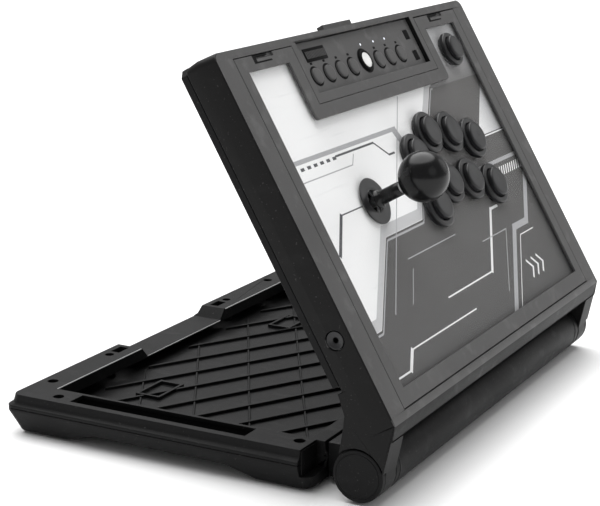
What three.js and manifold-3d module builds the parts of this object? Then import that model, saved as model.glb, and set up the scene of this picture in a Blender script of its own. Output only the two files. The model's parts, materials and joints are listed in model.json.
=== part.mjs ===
// Arcade joystick panel: a tray-shaped base with a clamshell lid that carries a ball-top
// lever, nine large push buttons and a strip of small control buttons.
// Millimetres, +Z up, +X to the player's right, +Y away from the player.
import * as THREE from 'three';
import { mergeVertices } from 'three/addons/utils/BufferGeometryUtils.js';
import Module from 'manifold-3d';

const wasm = await Module();
wasm.setup();

// ---- Driving dimensions -------------------------------------------------------------
const GAP = 0.3; // clearance between pieces that rest on each other
const HALF_WIDTH = 204; // half the width of the lid and of the base rim
const RIM_Z = 31; // height of the base's rim above the table
const HINGE_Z = 20.5; // height of the lid's hinge axis above the table
const BARREL_R = 18.5; // radius of the hinge barrel
const PIN_R = 5; // radius of the hinge pins
const LID_OPEN = THREE.MathUtils.degToRad(60); // how far the lid stands open
const FACE_Z = 43.3; // lid face above the hinge axis when the lid is closed
const FACE_FRONT = 21.4; // lid face's front edge, measured from the hinge axis
const FACE_REAR = 292.6; // lid face's rear edge
const ARM_WIDTH = 20; // width of each hinge arm
const ARM_CREASE = 2; // how far the crease along an arm's outer side stands out
const CREASE_Z = 22; // height of that crease above the hinge axis, lid closed
const SIDES = 16; // sides of a round piece

// Base
const BASE_FRONT = 37;
const BASE_REAR = 289;
const PARTING_Z = 20.5; // where the pan meets the rim frame
const RAIL = 25; // width of the rim's rails
const FLARE = 4; // how far the base bulges past the rim
const FLOOR_Z = 12.5; // top of the pan's floor
const PAD_Z = 2.2; // underside of the pan's corner pads
const BELLY_Z = 10; // underside of the pan between its pads
const FOOT_R = 9;

// Lid, in the closed lid's frame: origin on the hinge axis
const LID_WALL_Z = FACE_Z - 24.5; // lower edge of the top cover
const LID_BOTTOM_Z = FACE_Z - 30.3; // lower edge of the lower frame
const WALL = 3.2;
const POCKET_HALF = 183.6; // half width of the recess that holds the bezel
const POCKET_FRONT = 27.2;
const POCKET_REAR = 286.6;
const LEDGE_Z = FACE_Z - 7.1; // shelf that the sheet stack rests on
const LEDGE_THICK = 3;
const LEDGE_HALF = 174;
const LEDGE_FRONT = 35;
const LEDGE_REAR = 279;
const WINDOW_HALF = 172; // half width of the artwork window
const WINDOW_FRONT = 39.4;
const WINDOW_REAR = 275.4;
const SHEET_HALF = 182; // half width of the clear cover, artwork and steel panel
const SHEET_FRONT = 29;
const SHEET_REAR = 285;
const BEZEL_THICK = 2.4;
const CLEAR_THICK = 1.5; // clear cover
const ART_THICK = 0.4; // printed sheet
const STEEL_THICK = 1.6; // steel panel
const BLOCK_HALF = 103; // half width of the control block at the lid's rear
const BLOCK_FRONT = 240.7;
const BLOCK_BORDER = 13; // bezel border round the control block
const STRIP_HALF = 96; // half width of the control strip
const STRIP_FRONT = 248.4;
const STRIP_REAR = 288.4;
const STRIP_DEPTH = 3.6;

// Lever
const LEVER = [-89.4, 162];
const BALL_R = 18.4;
const BALL_HEIGHT = 41.2; // ball's centre above the lid face
const SHAFT_R = 4.2;
const PIVOT_DEPTH = 20; // tilt centre below the lid face

// Push buttons: name and place on the lid
const LARGE_BUTTONS = [
  ['upper_1', -2, 181.5], ['upper_2', 33, 194.5], ['upper_3', 68.5, 189], ['upper_4', 104, 177.5],
  ['lower_1', -5.5, 139.5], ['lower_2', 29.5, 152.5], ['lower_3', 66, 148], ['lower_4', 102.5, 136.5],
];
const LARGE = { flange: 17.5, body: 14.5, plunger: 12.1, depth: 20 };
const SMALL_BUTTON = ['corner', 144, 253];
const SMALL = { flange: 14.8, body: 12.4, plunger: 10.2, depth: 18 };
const HOLE_R = 15.4; // holes in the sheets, hidden under the rims
const SMALL_HOLE_R = 13.2;
const LEVER_HOLE_R = 12;
const FLANGE_TALL = 4.6; // rim's height above the clear cover
const PLUNGER_PROUD = 3.9; // plunger's height above its rim

// Control strip buttons: name, x, radius
const STRIP_ROUND = [
  ['strip_button_1', -82, 6.3], ['strip_button_2', -62.6, 6.3], ['strip_button_3', -43.2, 6.3],
  ['strip_button_4', -23.8, 6.3], ['home_button', -1.5, 8.6], ['strip_button_5', 21, 6.3],
  ['strip_button_6', 40.5, 6.3], ['strip_button_7', 60, 6.3],
];
const STRIP_ROW_Y = 261.4;
const HOME_Y = 263.4;
const STRIP_KEYS = [['lock_key', 84.5, 275.4], ['audio_key', 84.5, 257]];
const KEY_HALF = 3.9;
const LATCH_X = 76.5; // half the distance between the two latch hooks
const LATCH_Y = 279.4;
const JACK_Y = 88.8; // headset socket in the lid's left side
const JACK_Z = FACE_Z - 12;

// ---- Solids -------------------------------------------------------------------------
function solid(geometry) {
  const bare = geometry.clone();
  bare.deleteAttribute('normal');
  bare.deleteAttribute('uv');
  const merged = mergeVertices(bare, 1e-4);
  return new wasm.Manifold(new wasm.Mesh({
    numProp: 3,
    vertProperties: new Float32Array(merged.attributes.position.array),
    triVerts: new Uint32Array(merged.index.array),
  }));
}

function geometryOf(body) {
  const mesh = body.getMesh();
  const geometry = new THREE.BufferGeometry();
  geometry.setAttribute('position', new THREE.BufferAttribute(new Float32Array(mesh.vertProperties), 3));
  geometry.setIndex(new THREE.BufferAttribute(new Uint32Array(mesh.triVerts), 1));
  geometry.computeVertexNormals();
  return geometry;
}

function join(...bodies) {
  return bodies.reduce((whole, body) => whole.add(body));
}

function cut(body, ...tools) {
  return tools.reduce((rest, tool) => rest.subtract(tool), body);
}

// A box from its lowest to its highest corner
function block(x0, x1, y0, y1, z0, z1) {
  const geometry = new THREE.BoxGeometry(x1 - x0, y1 - y0, z1 - z0);
  geometry.translate((x0 + x1) / 2, (y0 + y1) / 2, (z0 + z1) / 2);
  return solid(geometry);
}

// A round bar along Z
function barZ(radius, x, y, z0, z1, sides = SIDES) {
  const geometry = new THREE.CylinderGeometry(radius, radius, z1 - z0, sides);
  geometry.rotateX(Math.PI / 2);
  geometry.translate(x, y, (z0 + z1) / 2);
  return solid(geometry);
}

// A round bar along X
function barX(radius, x0, x1, y, z, sides = SIDES) {
  const geometry = new THREE.CylinderGeometry(radius, radius, x1 - x0, sides);
  geometry.rotateZ(Math.PI / 2);
  geometry.translate((x0 + x1) / 2, y, z);
  return solid(geometry);
}

// The same stretch of X on the left (side -1) or right (side 1), lowest first
function span(side, inner, outer) {
  return side < 0 ? [-outer, -inner] : [inner, outer];
}

// A profile of [radius, height] points turned about a vertical line
function turned(profile, x, y, sides = SIDES) {
  const points = profile.map(([r, z]) => new THREE.Vector2(r, z));
  const geometry = new THREE.LatheGeometry(points, sides);
  geometry.rotateX(Math.PI / 2);
  geometry.translate(x, y, 0);
  return solid(geometry);
}

function shapeOf(points) {
  return new THREE.Shape(points.map(([a, b]) => new THREE.Vector2(a, b)));
}

// An [x, y] outline raised from z0 to z1
function plate(points, z0, z1, holes = []) {
  const shape = points instanceof THREE.Shape ? points : shapeOf(points);
  shape.holes = holes;
  const geometry = new THREE.ExtrudeGeometry(shape, {
    depth: z1 - z0, bevelEnabled: false, curveSegments: 5,
  });
  geometry.translate(0, 0, z0);
  return solid(geometry);
}

// A [y, z] outline run along X
function beam(points, x0, x1) {
  const geometry = new THREE.ExtrudeGeometry(shapeOf(points), { depth: x1 - x0, bevelEnabled: false });
  geometry.rotateX(Math.PI / 2);
  geometry.rotateZ(Math.PI / 2);
  geometry.translate(x0, 0, 0);
  return solid(geometry);
}

// An [x, z] outline run along Y
function plateAlongY(points, y0, y1) {
  const geometry = new THREE.ExtrudeGeometry(shapeOf(points), { depth: y1 - y0, bevelEnabled: false });
  geometry.rotateX(Math.PI / 2);
  geometry.translate(0, y1, 0);
  return solid(geometry);
}

// A rounded rectangle, symmetrical in X
function roundedOutline(halfWidth, front, rear, frontRadius, rearRadius) {
  const shape = new THREE.Shape();
  shape.moveTo(-halfWidth + frontRadius, front);
  shape.lineTo(halfWidth - frontRadius, front);
  if (frontRadius > 0) {
    shape.absarc(halfWidth - frontRadius, front + frontRadius, frontRadius, -Math.PI / 2, 0);
  }
  shape.lineTo(halfWidth, rear - rearRadius);
  shape.absarc(halfWidth - rearRadius, rear - rearRadius, rearRadius, 0, Math.PI / 2);
  shape.lineTo(-halfWidth + rearRadius, rear);
  shape.absarc(-halfWidth + rearRadius, rear - rearRadius, rearRadius, Math.PI / 2, Math.PI);
  if (frontRadius > 0) {
    shape.lineTo(-halfWidth, front + frontRadius);
    shape.absarc(-halfWidth + frontRadius, front + frontRadius, frontRadius, Math.PI, Math.PI * 1.5);
  }
  return shape;
}

// A solid whose outline changes from level to level; every level has as many points
function stacked(levels) {
  const rings = levels.map(({ shape, z }) => {
    const points = shape.extractPoints(4).shape;
    if (points[0].distanceTo(points[points.length - 1]) < 1e-6) points.pop();
    return points.map((p) => [p.x, p.y, z]);
  });
  const count = rings[0].length;
  const positions = rings.flat(2);
  const faces = [];
  for (let level = 0; level < rings.length - 1; level += 1) {
    for (let i = 0; i < count; i += 1) {
      const a = level * count + i;
      const b = level * count + ((i + 1) % count);
      faces.push(a, b, b + count, a, b + count, a + count);
    }
  }
  const flat = rings[0].map(([x, y]) => new THREE.Vector2(x, y));
  const cap = THREE.ShapeUtils.triangulateShape(flat, []);
  const top = (rings.length - 1) * count;
  for (const [a, b, c] of cap) {
    faces.push(a, c, b, top + a, top + b, top + c);
  }
  const geometry = new THREE.BufferGeometry();
  geometry.setAttribute('position', new THREE.Float32BufferAttribute(positions, 3));
  geometry.setIndex(faces);
  return solid(geometry);
}

// ---- Materials ----------------------------------------------------------------------
function finish(color, roughness, metalness = 0) {
  return new THREE.MeshStandardMaterial({ color, roughness, metalness });
}

const MATTE = finish(0x232325, 0.6);
const MATTE_LID = finish(0x2b2b2d, 0.55);
const SATIN = finish(0x1c1c1e, 0.38);
const GLOSS = finish(0x0b0b0c, 0.12);
const RUBBER = finish(0x151515, 0.9);
const STEEL = finish(0x9a9c9f, 0.35, 1);
const BOARD = finish(0x14402a, 0.6);
const CLEAR = finish(0xdfe3e6, 0.08);
const PRINT = finish(0xb9b7b4, 0.4);
const WHITE = finish(0xe6e6e4, 0.3);

function piece(name, body, material) {
  const mesh = new THREE.Mesh(geometryOf(body), material);
  mesh.name = name;
  return mesh;
}

// ---- Base ---------------------------------------------------------------------------
function baseOutline(offset, cornerRadius = 7) {
  return roundedOutline(
    HALF_WIDTH + offset, BASE_FRONT - offset / 2, BASE_REAR + offset, cornerRadius, cornerRadius,
  );
}

// Diagonal stiffening ribs, held inside the pan's walls
function floorRibs() {
  const angle = THREE.MathUtils.degToRad(30.5);
  const spacing = 31;
  const inside = block(-176, 176, BASE_FRONT + 12, 262, FLOOR_Z - 1, FLOOR_Z + 3);
  const ribs = [];
  for (let i = -7; i <= 7; i += 1) {
    const leaning = new THREE.BoxGeometry(500, 2.4, 3);
    leaning.translate(0, i * spacing, FLOOR_Z + 1);
    leaning.rotateZ(-angle);
    leaning.translate(0, 155, 0);
    ribs.push(solid(leaning));
  }
  for (let i = -4; i <= 4; i += 1) {
    const leaning = new THREE.BoxGeometry(500, 1.4, 2);
    leaning.translate(0, i * spacing * 1.35, FLOOR_Z + 0.6);
    leaning.rotateZ(angle);
    leaning.translate(0, 155, 0);
    ribs.push(solid(leaning));
  }
  for (const side of [-1, 1]) {
    const x = side * 104;
    const boss = block(x - 18, x + 18, 212, 234, FLOOR_Z - 0.5, FLOOR_Z + 3);
    ribs.push(cut(boss, block(x - 15.5, x + 15.5, 214.5, 231.5, FLOOR_Z - 1, FLOOR_Z + 4)));
  }
  return join(...ribs).intersect(inside);
}

function basePan() {
  const outer = stacked([
    { shape: baseOutline(-2.5), z: PAD_Z },
    { shape: baseOutline(FLARE), z: 18.5 },
    { shape: baseOutline(FLARE), z: PARTING_Z },
  ]);
  const hollow = stacked([
    { shape: baseOutline(-7), z: FLOOR_Z },
    { shape: baseOutline(FLARE - 4), z: PARTING_Z + 1 },
  ]);
  const sideArch = beam([
    [80, -5], [80, PAD_Z], [104, BELLY_Z], [216, BELLY_Z], [242, PAD_Z], [242, -5],
  ], -300, 300);
  const endArch = plate([[-120, -10], [120, -10], [120, 400], [-120, 400]], 0, BELLY_Z);
  const armRoom = [-1, 1].map((side) => block(...span(side, 181, 230), 0, 44, 12, 40));
  return cut(join(cut(outer, hollow, sideArch, endArch), floorRibs()), ...armRoom);
}

function rimFrame() {
  const rise = RIM_Z - PARTING_Z;
  const outer = stacked([
    { shape: baseOutline(FLARE), z: PARTING_Z + GAP },
    { shape: baseOutline(FLARE), z: PARTING_Z + 0.24 * rise },
    { shape: baseOutline(FLARE - 2.6), z: PARTING_Z + 0.42 * rise },
    { shape: baseOutline(FLARE - 3.2), z: PARTING_Z + 0.62 * rise },
    { shape: baseOutline(0), z: RIM_Z },
  ]);
  const half = HALF_WIDTH - RAIL;
  const rearInner = BASE_REAR - RAIL + 1.5;
  const opening = block(-half, half, BASE_FRONT + 12, rearInner, 0, RIM_Z + 1);
  const under = cut(
    plate(roundedOutline(HALF_WIDTH - 1.5, BASE_FRONT + 12, BASE_REAR - 1.5, 5, 5), PARTING_Z - 1, RIM_Z - 3),
    block(-half - 2, half + 2, 0, rearInner + 2, 0, RIM_Z + 1),
    block(-72, 72, rearInner - 4, 400, 0, RIM_Z + 1),
  );
  const notch = plateAlongY([
    [-66, RIM_Z + 1], [-65, RIM_Z], [-57, RIM_Z - 8.5], [57, RIM_Z - 8.5], [65, RIM_Z], [66, RIM_Z + 1],
  ], rearInner - 5, 400);
  const tools = [opening, under, notch];
  for (const side of [-1, 1]) {
    tools.push(block(...span(side, 182, 198), 91, 240, 0, RIM_Z + 1));
    tools.push(block(...span(side, 181, 230), 0, 44, 0, 60));
    for (const [x, y, r] of [[166, 279.3, 4.1], [91, 279.3, 3.6], [193, 254, 4.1], [188, 53, 4.1]]) {
      tools.push(barZ(r, side * x, y, PARTING_Z - 2, RIM_Z + 1, 16));
    }
    tools.push(block(side * LATCH_X - 7, side * LATCH_X + 7, LATCH_Y - 4, LATCH_Y + 4, 0, RIM_Z + 1));
  }
  return cut(outer, ...tools);
}

function hingeBarrel() {
  const half = HALF_WIDTH - ARM_WIDTH - 0.8;
  const roll = barX(BARREL_R, -half, half, 0, HINGE_Z, 32);
  const hollow = barX(BARREL_R - 3, -half + 18, half - 18, 0, HINGE_Z, 16);
  const rear = BASE_FRONT - FLARE / 2 - GAP - 0.2;
  const web = block(-172, 172, 8, rear, 6, 20);
  const ears = [-1, 1].map((side) => beam(
    [[10, 6], [rear, 6], [rear, 31], [30, 31.5], [22.5, 34.5], [17, 40], [12, 41], [10, 36]],
    ...span(side, 150, 181),
  ));
  const bores = [-1, 1].map((side) => barX(PIN_R + GAP, ...span(side, half - 22, half + 2), 0, HINGE_Z));
  return cut(join(roll, web, ...ears), hollow, ...bores);
}

function baseGroup() {
  const group = new THREE.Group();
  group.add(piece('base_pan', basePan(), MATTE));
  group.add(piece('base_rim_frame', rimFrame(), MATTE));
  group.add(piece('hinge_barrel', hingeBarrel(), MATTE));
  for (const [name, side] of [['left', -1], ['right', 1]]) {
    const pin = barX(PIN_R, ...span(side, HALF_WIDTH - ARM_WIDTH - 22, HALF_WIDTH - 4), 0, HINGE_Z);
    group.add(piece(`hinge_pin_${name}`, pin, STEEL));
    for (const [end, y] of [['front', 62], ['rear', 256]]) {
      const foot = turned([
        [0, 0], [FOOT_R - 1, 0], [FOOT_R, 0.8], [FOOT_R, PAD_Z - GAP], [0, PAD_Z - GAP],
      ], side * 170, y);
      group.add(piece(`foot_${end}_${name}`, foot, RUBBER));
    }
  }
  return group;
}

// ---- Lid ----------------------------------------------------------------------------
function lidOutline(offset) {
  return roundedOutline(HALF_WIDTH + offset, FACE_FRONT, FACE_REAR + offset, 0, 6);
}

// One hinge arm's side outline: it hangs from the lid's front corner and ends round the axis
function armOutline(radius) {
  const points = [[FACE_FRONT, FACE_Z]];
  const steps = 14;
  const start = THREE.MathUtils.degToRad(112);
  const sweep = THREE.MathUtils.degToRad(226);
  for (let i = 0; i <= steps; i += 1) {
    const angle = start + (sweep * i) / steps;
    points.push([radius * Math.cos(angle), radius * Math.sin(angle)]);
  }
  points.push([33.5, 6.4], [41.5, 12.2], [56, 15], [56, FACE_Z - 2]);
  return points;
}

function lidHousing() {
  const shell = stacked([
    { shape: lidOutline(1.6), z: LID_WALL_Z },
    { shape: lidOutline(2.2), z: FACE_Z - 15 },
    { shape: lidOutline(0.9), z: FACE_Z - 1 },
    { shape: lidOutline(0), z: FACE_Z },
  ]);
  const inside = roundedOutline(HALF_WIDTH - WALL, POCKET_FRONT + 2.5, FACE_REAR - WALL, 2, 4);
  const cavity = plate(inside, 0, LEDGE_Z - LEDGE_THICK);
  const shaftway = block(-LEDGE_HALF, LEDGE_HALF, LEDGE_FRONT, LEDGE_REAR, 0, FACE_Z + 1);
  const pocket = block(-POCKET_HALF, POCKET_HALF, POCKET_FRONT, POCKET_REAR, LEDGE_Z, FACE_Z + 1);
  const front = beam([
    [FACE_FRONT, FACE_Z], [12.2, 35.1], [14, 32.6], [25.6, LID_WALL_Z], [29, LID_WALL_Z],
    [29, LEDGE_Z - LEDGE_THICK], [26.8, LEDGE_Z], [26.8, FACE_Z],
  ], -HALF_WIDTH, HALF_WIDTH);
  const controlBlock = block(
    -BLOCK_HALF, BLOCK_HALF, BLOCK_FRONT, POCKET_REAR + 2, LEDGE_Z - LEDGE_THICK, FACE_Z,
  );
  const strip = block(-STRIP_HALF, STRIP_HALF, STRIP_FRONT, STRIP_REAR, 0, FACE_Z + 1);
  let body = join(cut(shell, cavity, shaftway, pocket), front, controlBlock);
  body = cut(body, strip);
  for (const side of [-1, 1]) {
    const bore = barX(PIN_R + 2 * GAP, ...span(side, HALF_WIDTH - ARM_WIDTH - 1, HALF_WIDTH + 1), 0, 0);
    const capSeat = barX(BARREL_R + 1.2, ...span(side, HALF_WIDTH - 3.4, HALF_WIDTH + 8), 0, 0, 32);
    body = cut(join(body, hingeArm(side)), bore, capSeat);
  }
  const jackBore = barX(7, -HALF_WIDTH - 8, -HALF_WIDTH + 14, JACK_Y, JACK_Z);
  const portHole = block(-150, -134, FACE_REAR - 8, FACE_REAR + 10, FACE_Z - 21, FACE_Z - 12);
  const latchGap = block(-26, 26, FACE_REAR - 8, FACE_REAR + 10, FACE_Z - 19.5, FACE_Z - 10.5);
  return cut(body, jackBore, portHole, latchGap);
}

// A hinge arm with its outer side creased along the middle of the lid's wall
function hingeArm(side) {
  const [low, high] = span(side, HALF_WIDTH - ARM_WIDTH, HALF_WIDTH + ARM_CREASE);
  const faces = [
    [HALF_WIDTH - ARM_WIDTH, -BARREL_R - 2], [HALF_WIDTH, -BARREL_R - 2],
    [HALF_WIDTH + ARM_CREASE, CREASE_Z], [HALF_WIDTH + 0.6, FACE_Z], [HALF_WIDTH - ARM_WIDTH, FACE_Z],
  ].map(([x, z]) => [side * x, z]);
  if (side < 0) faces.reverse();
  return beam(armOutline(BARREL_R + GAP), low, high).intersect(plateAlongY(faces, -40, 80));
}

function lowerFrame() {
  const side = HALF_WIDTH + 1.2;
  const rear = FACE_REAR + 2;
  const outer = [
    [-183, 31.5], [183, 31.5], [183, 60], [side, 60], [side, rear - 5], [side - 5, rear],
    [-side + 5, rear], [-side, rear - 5], [-side, 60], [-183, 60],
  ];
  const inner = [
    [-178, 36], [178, 36], [178, 65], [side - 5, 65], [side - 5, rear - 5], [-side + 5, rear - 5],
    [-side + 5, 65], [-178, 65],
  ];
  return cut(plate(outer, LID_BOTTOM_Z, LID_WALL_Z - GAP), plate(inner, 0, FACE_Z));
}

// A sheet of the stack, cut away round the control block
function stackSheet(z1, thick) {
  const notch = BLOCK_HALF + 1.2;
  let body = cut(
    block(-SHEET_HALF, SHEET_HALF, SHEET_FRONT, SHEET_REAR, z1 - thick, z1),
    block(-notch, notch, BLOCK_FRONT - 1.2, 400, 0, 100),
  );
  for (const [, x, y] of LARGE_BUTTONS) body = body.subtract(barZ(HOLE_R, x, y, 0, 100, 12));
  body = body.subtract(barZ(SMALL_HOLE_R, SMALL_BUTTON[1], SMALL_BUTTON[2], 0, 100, 12));
  return body.subtract(barZ(LEVER_HOLE_R, LEVER[0], LEVER[1], 0, 100, 12));
}

function topBezel() {
  const half = POCKET_HALF - GAP;
  const frame = block(
    -half, half, POCKET_FRONT + GAP, POCKET_REAR - GAP, FACE_Z - BEZEL_THICK, FACE_Z,
  );
  const border = BLOCK_HALF + BLOCK_BORDER;
  const borderFront = BLOCK_FRONT - BLOCK_BORDER + 2.5;
  const soft = 4;
  const windowShape = new THREE.Shape();
  windowShape.moveTo(-WINDOW_HALF, WINDOW_FRONT);
  windowShape.lineTo(WINDOW_HALF, WINDOW_FRONT);
  windowShape.lineTo(WINDOW_HALF, WINDOW_REAR);
  windowShape.lineTo(border, WINDOW_REAR);
  windowShape.lineTo(border, borderFront + soft);
  windowShape.absarc(border - soft, borderFront + soft, soft, 0, -Math.PI / 2, true);
  windowShape.lineTo(-border + soft, borderFront);
  windowShape.absarc(-border + soft, borderFront + soft, soft, -Math.PI / 2, -Math.PI, true);
  windowShape.lineTo(-border, WINDOW_REAR);
  windowShape.lineTo(-WINDOW_HALF, WINDOW_REAR);
  const opening = plate(windowShape, 0, 100);
  const blockRoom = block(-BLOCK_HALF - GAP, BLOCK_HALF + GAP, BLOCK_FRONT - GAP, 400, 0, 100);
  const fingerNotches = [-145.5, 143].map(
    (x) => block(x - 13.5, x + 13.5, POCKET_REAR - 3.4, 400, FACE_Z - 1.6, 100),
  );
  return cut(frame, opening, blockRoom, ...fingerNotches);
}

function controlStrip() {
  const top = FACE_Z - STRIP_DEPTH;
  let body = block(-STRIP_HALF + GAP, STRIP_HALF - GAP, STRIP_FRONT + GAP, STRIP_REAR - GAP, top - 2.5, top);
  for (const [name, x, r] of STRIP_ROUND) {
    body = body.subtract(barZ(r + 0.35, x, name === 'home_button' ? HOME_Y : STRIP_ROW_Y, 0, 100, 16));
  }
  for (const [, x, y] of STRIP_KEYS) {
    const half = KEY_HALF + 0.35;
    body = body.subtract(block(x - half, x + half, y - half, y + half, 0, 100));
  }
  return body;
}

function buttonRim(size, x, y) {
  const seat = FACE_Z - BEZEL_THICK;
  const top = seat + FLANGE_TALL;
  const bottom = seat - size.depth;
  const inner = size.plunger + 0.4;
  return turned([
    [0, bottom], [size.body, bottom], [size.body, seat], [size.flange, seat], [size.flange, seat + 1.6],
    [size.flange - 1.4, top - 0.6], [size.flange - 2.4, top], [inner + 0.3, top], [inner, top - 0.5],
    [inner, bottom + 2.5], [0, bottom + 2.5],
  ], x, y);
}

function buttonPlunger(size, x, y) {
  const top = FACE_Z - BEZEL_THICK + FLANGE_TALL + PLUNGER_PROUD;
  const r = size.plunger;
  return turned([
    [0, top - 13], [r, top - 13], [r, top - 1.6], [r - 1, top - 0.5], [r * 0.5, top - 0.1], [0, top],
  ], x, y);
}

function lidGroup() {
  const group = new THREE.Group();
  group.position.set(0, 0, HINGE_Z);
  group.rotation.x = LID_OPEN;
  const add = (name, body, material) => group.add(piece(name, body, material));
  add('lid_housing', lidHousing(), MATTE_LID);
  add('lid_lower_frame', lowerFrame(), MATTE);
  add('top_bezel', topBezel(), MATTE_LID);
  const clearTop = FACE_Z - BEZEL_THICK - GAP;
  const artTop = clearTop - CLEAR_THICK - GAP;
  const steelTop = artTop - ART_THICK - GAP;
  add('clear_cover', stackSheet(clearTop, CLEAR_THICK), CLEAR);
  add('artwork_sheet', stackSheet(artTop, ART_THICK), PRINT);
  add('steel_panel', stackSheet(steelTop, STEEL_THICK), STEEL);
  add('control_strip', controlStrip(), MATTE_LID);
  for (const side of [-1, 1]) {
    const low = side < 0 ? -HALF_WIDTH - 1 : HALF_WIDTH - 3.1;
    const cap = barX(BARREL_R + 0.1, low, low + 4.1, 0, 0, 32);
    add(side < 0 ? 'hinge_cap_left' : 'hinge_cap_right', cap, MATTE);
  }
  addLever(add, steelTop - STEEL_THICK);
  addButtons(add);
  addControls(add, steelTop - STEEL_THICK);
  return group;
}

function addLever(add, under) {
  const [x, y] = LEVER;
  const top = under - GAP;
  const bracket = cut(block(x - 48, x + 48, y - 24, y + 24, top - 1.6, top), barZ(11, x, y, 0, 100));
  add('lever_bracket', bracket, STEEL);
  const bodyTop = top - 1.6 - GAP;
  const bodyBottom = bodyTop - 20;
  const housing = cut(block(x - 27, x + 27, y - 27, y + 27, bodyBottom, bodyTop), barZ(15, x, y, 0, 100));
  add('lever_body', housing, GLOSS);
  const switchTop = bodyBottom - GAP - 1.6;
  let switchBoard = cut(
    block(x - 31, x + 31, y - 31, y + 31, switchTop, bodyBottom - GAP), barZ(16, x, y, 0, 100),
  );
  for (const [dx, dy] of [[-1, 0], [1, 0], [0, -1], [0, 1]]) {
    const halfX = dx ? 3.2 : 10;
    const halfY = dy ? 3.2 : 10;
    const cx = x + dx * 24;
    const cy = y + dy * 24;
    const microswitch = block(cx - halfX, cx + halfX, cy - halfY, cy + halfY, switchTop - 8, switchTop + 1);
    switchBoard = switchBoard.add(microswitch);
  }
  add('lever_switch_board', switchBoard, BOARD);
  const gateTop = switchTop - 8 - GAP;
  add('lever_gate', cut(
    block(x - 28, x + 28, y - 28, y + 28, gateTop - 2.4, gateTop), block(x - 9.5, x + 9.5, y - 9.5, y + 9.5, 0, 100),
  ), WHITE);
  const pivot = FACE_Z - PIVOT_DEPTH;
  const washerTop = FACE_Z - BEZEL_THICK + 1;
  add('dust_washer', turned([
    [8.8, washerTop - 1], [18, washerTop - 1], [18, washerTop - 0.3], [17.3, washerTop], [8.8, washerTop],
    [8.8, washerTop - 1],
  ], x, y, 24), SATIN);
  add('lever_pivot_ring', turned([
    [6.2, pivot - 3], [10.5, pivot - 3], [10.5, pivot + 3], [6.2, pivot + 3], [6.2, pivot - 3],
  ], x, y), WHITE);
  add('lever_shaft', turned([
    [0, gateTop - 7], [3.6, gateTop - 7], [5.8, gateTop - 5.4], [5.8, gateTop + 6], [SHAFT_R, gateTop + 7.5],
    [SHAFT_R, FACE_Z + 0.9], [7, FACE_Z + 0.9], [7, FACE_Z + 2.4], [5.3, FACE_Z + 4.2], [5.3, FACE_Z + 22.5],
    [SHAFT_R, FACE_Z + 22.5], [SHAFT_R, FACE_Z + BALL_HEIGHT - BALL_R + 3],
    [0, FACE_Z + BALL_HEIGHT - BALL_R + 3],
  ], x, y), GLOSS);
  const ball = new THREE.SphereGeometry(BALL_R, 20, 12);
  ball.rotateX(Math.PI / 2);
  ball.translate(x, y, FACE_Z + BALL_HEIGHT);
  const socket = barZ(SHAFT_R + GAP + 0.2, x, y, 0, FACE_Z + BALL_HEIGHT - BALL_R + 3 + GAP);
  add('ball_top', cut(solid(ball), socket), GLOSS);
}

function addButtons(add) {
  for (const [name, x, y] of LARGE_BUTTONS) {
    add(`button_rim_${name}`, buttonRim(LARGE, x, y), SATIN);
    add(`button_plunger_${name}`, buttonPlunger(LARGE, x, y), SATIN);
  }
  const [name, x, y] = SMALL_BUTTON;
  add(`button_rim_${name}`, buttonRim(SMALL, x, y), SATIN);
  add(`button_plunger_${name}`, buttonPlunger(SMALL, x, y), SATIN);
}

function addControls(add, under) {
  const stripTop = FACE_Z - STRIP_DEPTH;
  for (const [name, x, r] of STRIP_ROUND) {
    const y = name === 'home_button' ? HOME_Y : STRIP_ROW_Y;
    const top = stripTop + 2;
    const body = turned([[0, top - 6], [r, top - 6], [r, top - 0.5], [r - 0.5, top], [0, top]], x, y, 16);
    add(name, body, name === 'home_button' ? WHITE : MATTE_LID);
  }
  for (const [name, x, y] of STRIP_KEYS) {
    const key = block(x - KEY_HALF, x + KEY_HALF, y - KEY_HALF, y + KEY_HALF, stripTop - 4.6, stripTop - 0.4);
    add(name, key, SATIN);
  }
  const boardTop = stripTop - 9.6;
  add('control_board', block(-100, 100, BLOCK_FRONT + 4, 273, boardTop - 1.6, boardTop), BOARD);
  add('main_board', block(-170, -70, 52, 102, under - 10, under - 8.4), BOARD);
  add('headset_jack', cut(
    barX(6.6, -HALF_WIDTH - 1.2, -HALF_WIDTH + 13, JACK_Y, JACK_Z),
    barX(2.2, -HALF_WIDTH - 2, -HALF_WIDTH + 10, JACK_Y, JACK_Z, 12),
  ), SATIN);
  add('usb_inlet', cut(
    block(-149.6, -134.4, FACE_REAR - 20, FACE_REAR + 1, FACE_Z - 20.6, FACE_Z - 12.4),
    block(-147, -137, FACE_REAR - 14, FACE_REAR + 3, FACE_Z - 18.4, FACE_Z - 14.6),
  ), STEEL);
  const barZ0 = FACE_Z - 19;
  const hooks = [-1, 1].map((side) => join(
    block(side * LATCH_X - 5, side * LATCH_X + 5, LATCH_Y - 1.6, LATCH_Y + 1.6, 2.6, barZ0 + 2),
    block(side * LATCH_X - 5, side * LATCH_X + 5, LATCH_Y - 2.6, LATCH_Y + 1.6, 2.6, 6),
  ));
  const tab = join(
    block(-94, 94, LATCH_Y - 2.4, LATCH_Y + 4, barZ0, barZ0 + 6),
    block(-22, 24.5, LATCH_Y + 2, FACE_REAR + 8, barZ0 + 0.3, barZ0 + 6),
  );
  add('latch_bar', join(tab, ...hooks), SATIN);
}

// ---- Whole object, standing with its bounding box centred over the origin --------------
const panel = new THREE.Group();
panel.add(baseGroup());
panel.add(lidGroup());
panel.updateMatrixWorld(true);
const bounds = new THREE.Box3().setFromObject(panel, true);
panel.position.set(-(bounds.min.x + bounds.max.x) / 2, -(bounds.min.y + bounds.max.y) / 2, -bounds.min.z);

export default panel;
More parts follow.
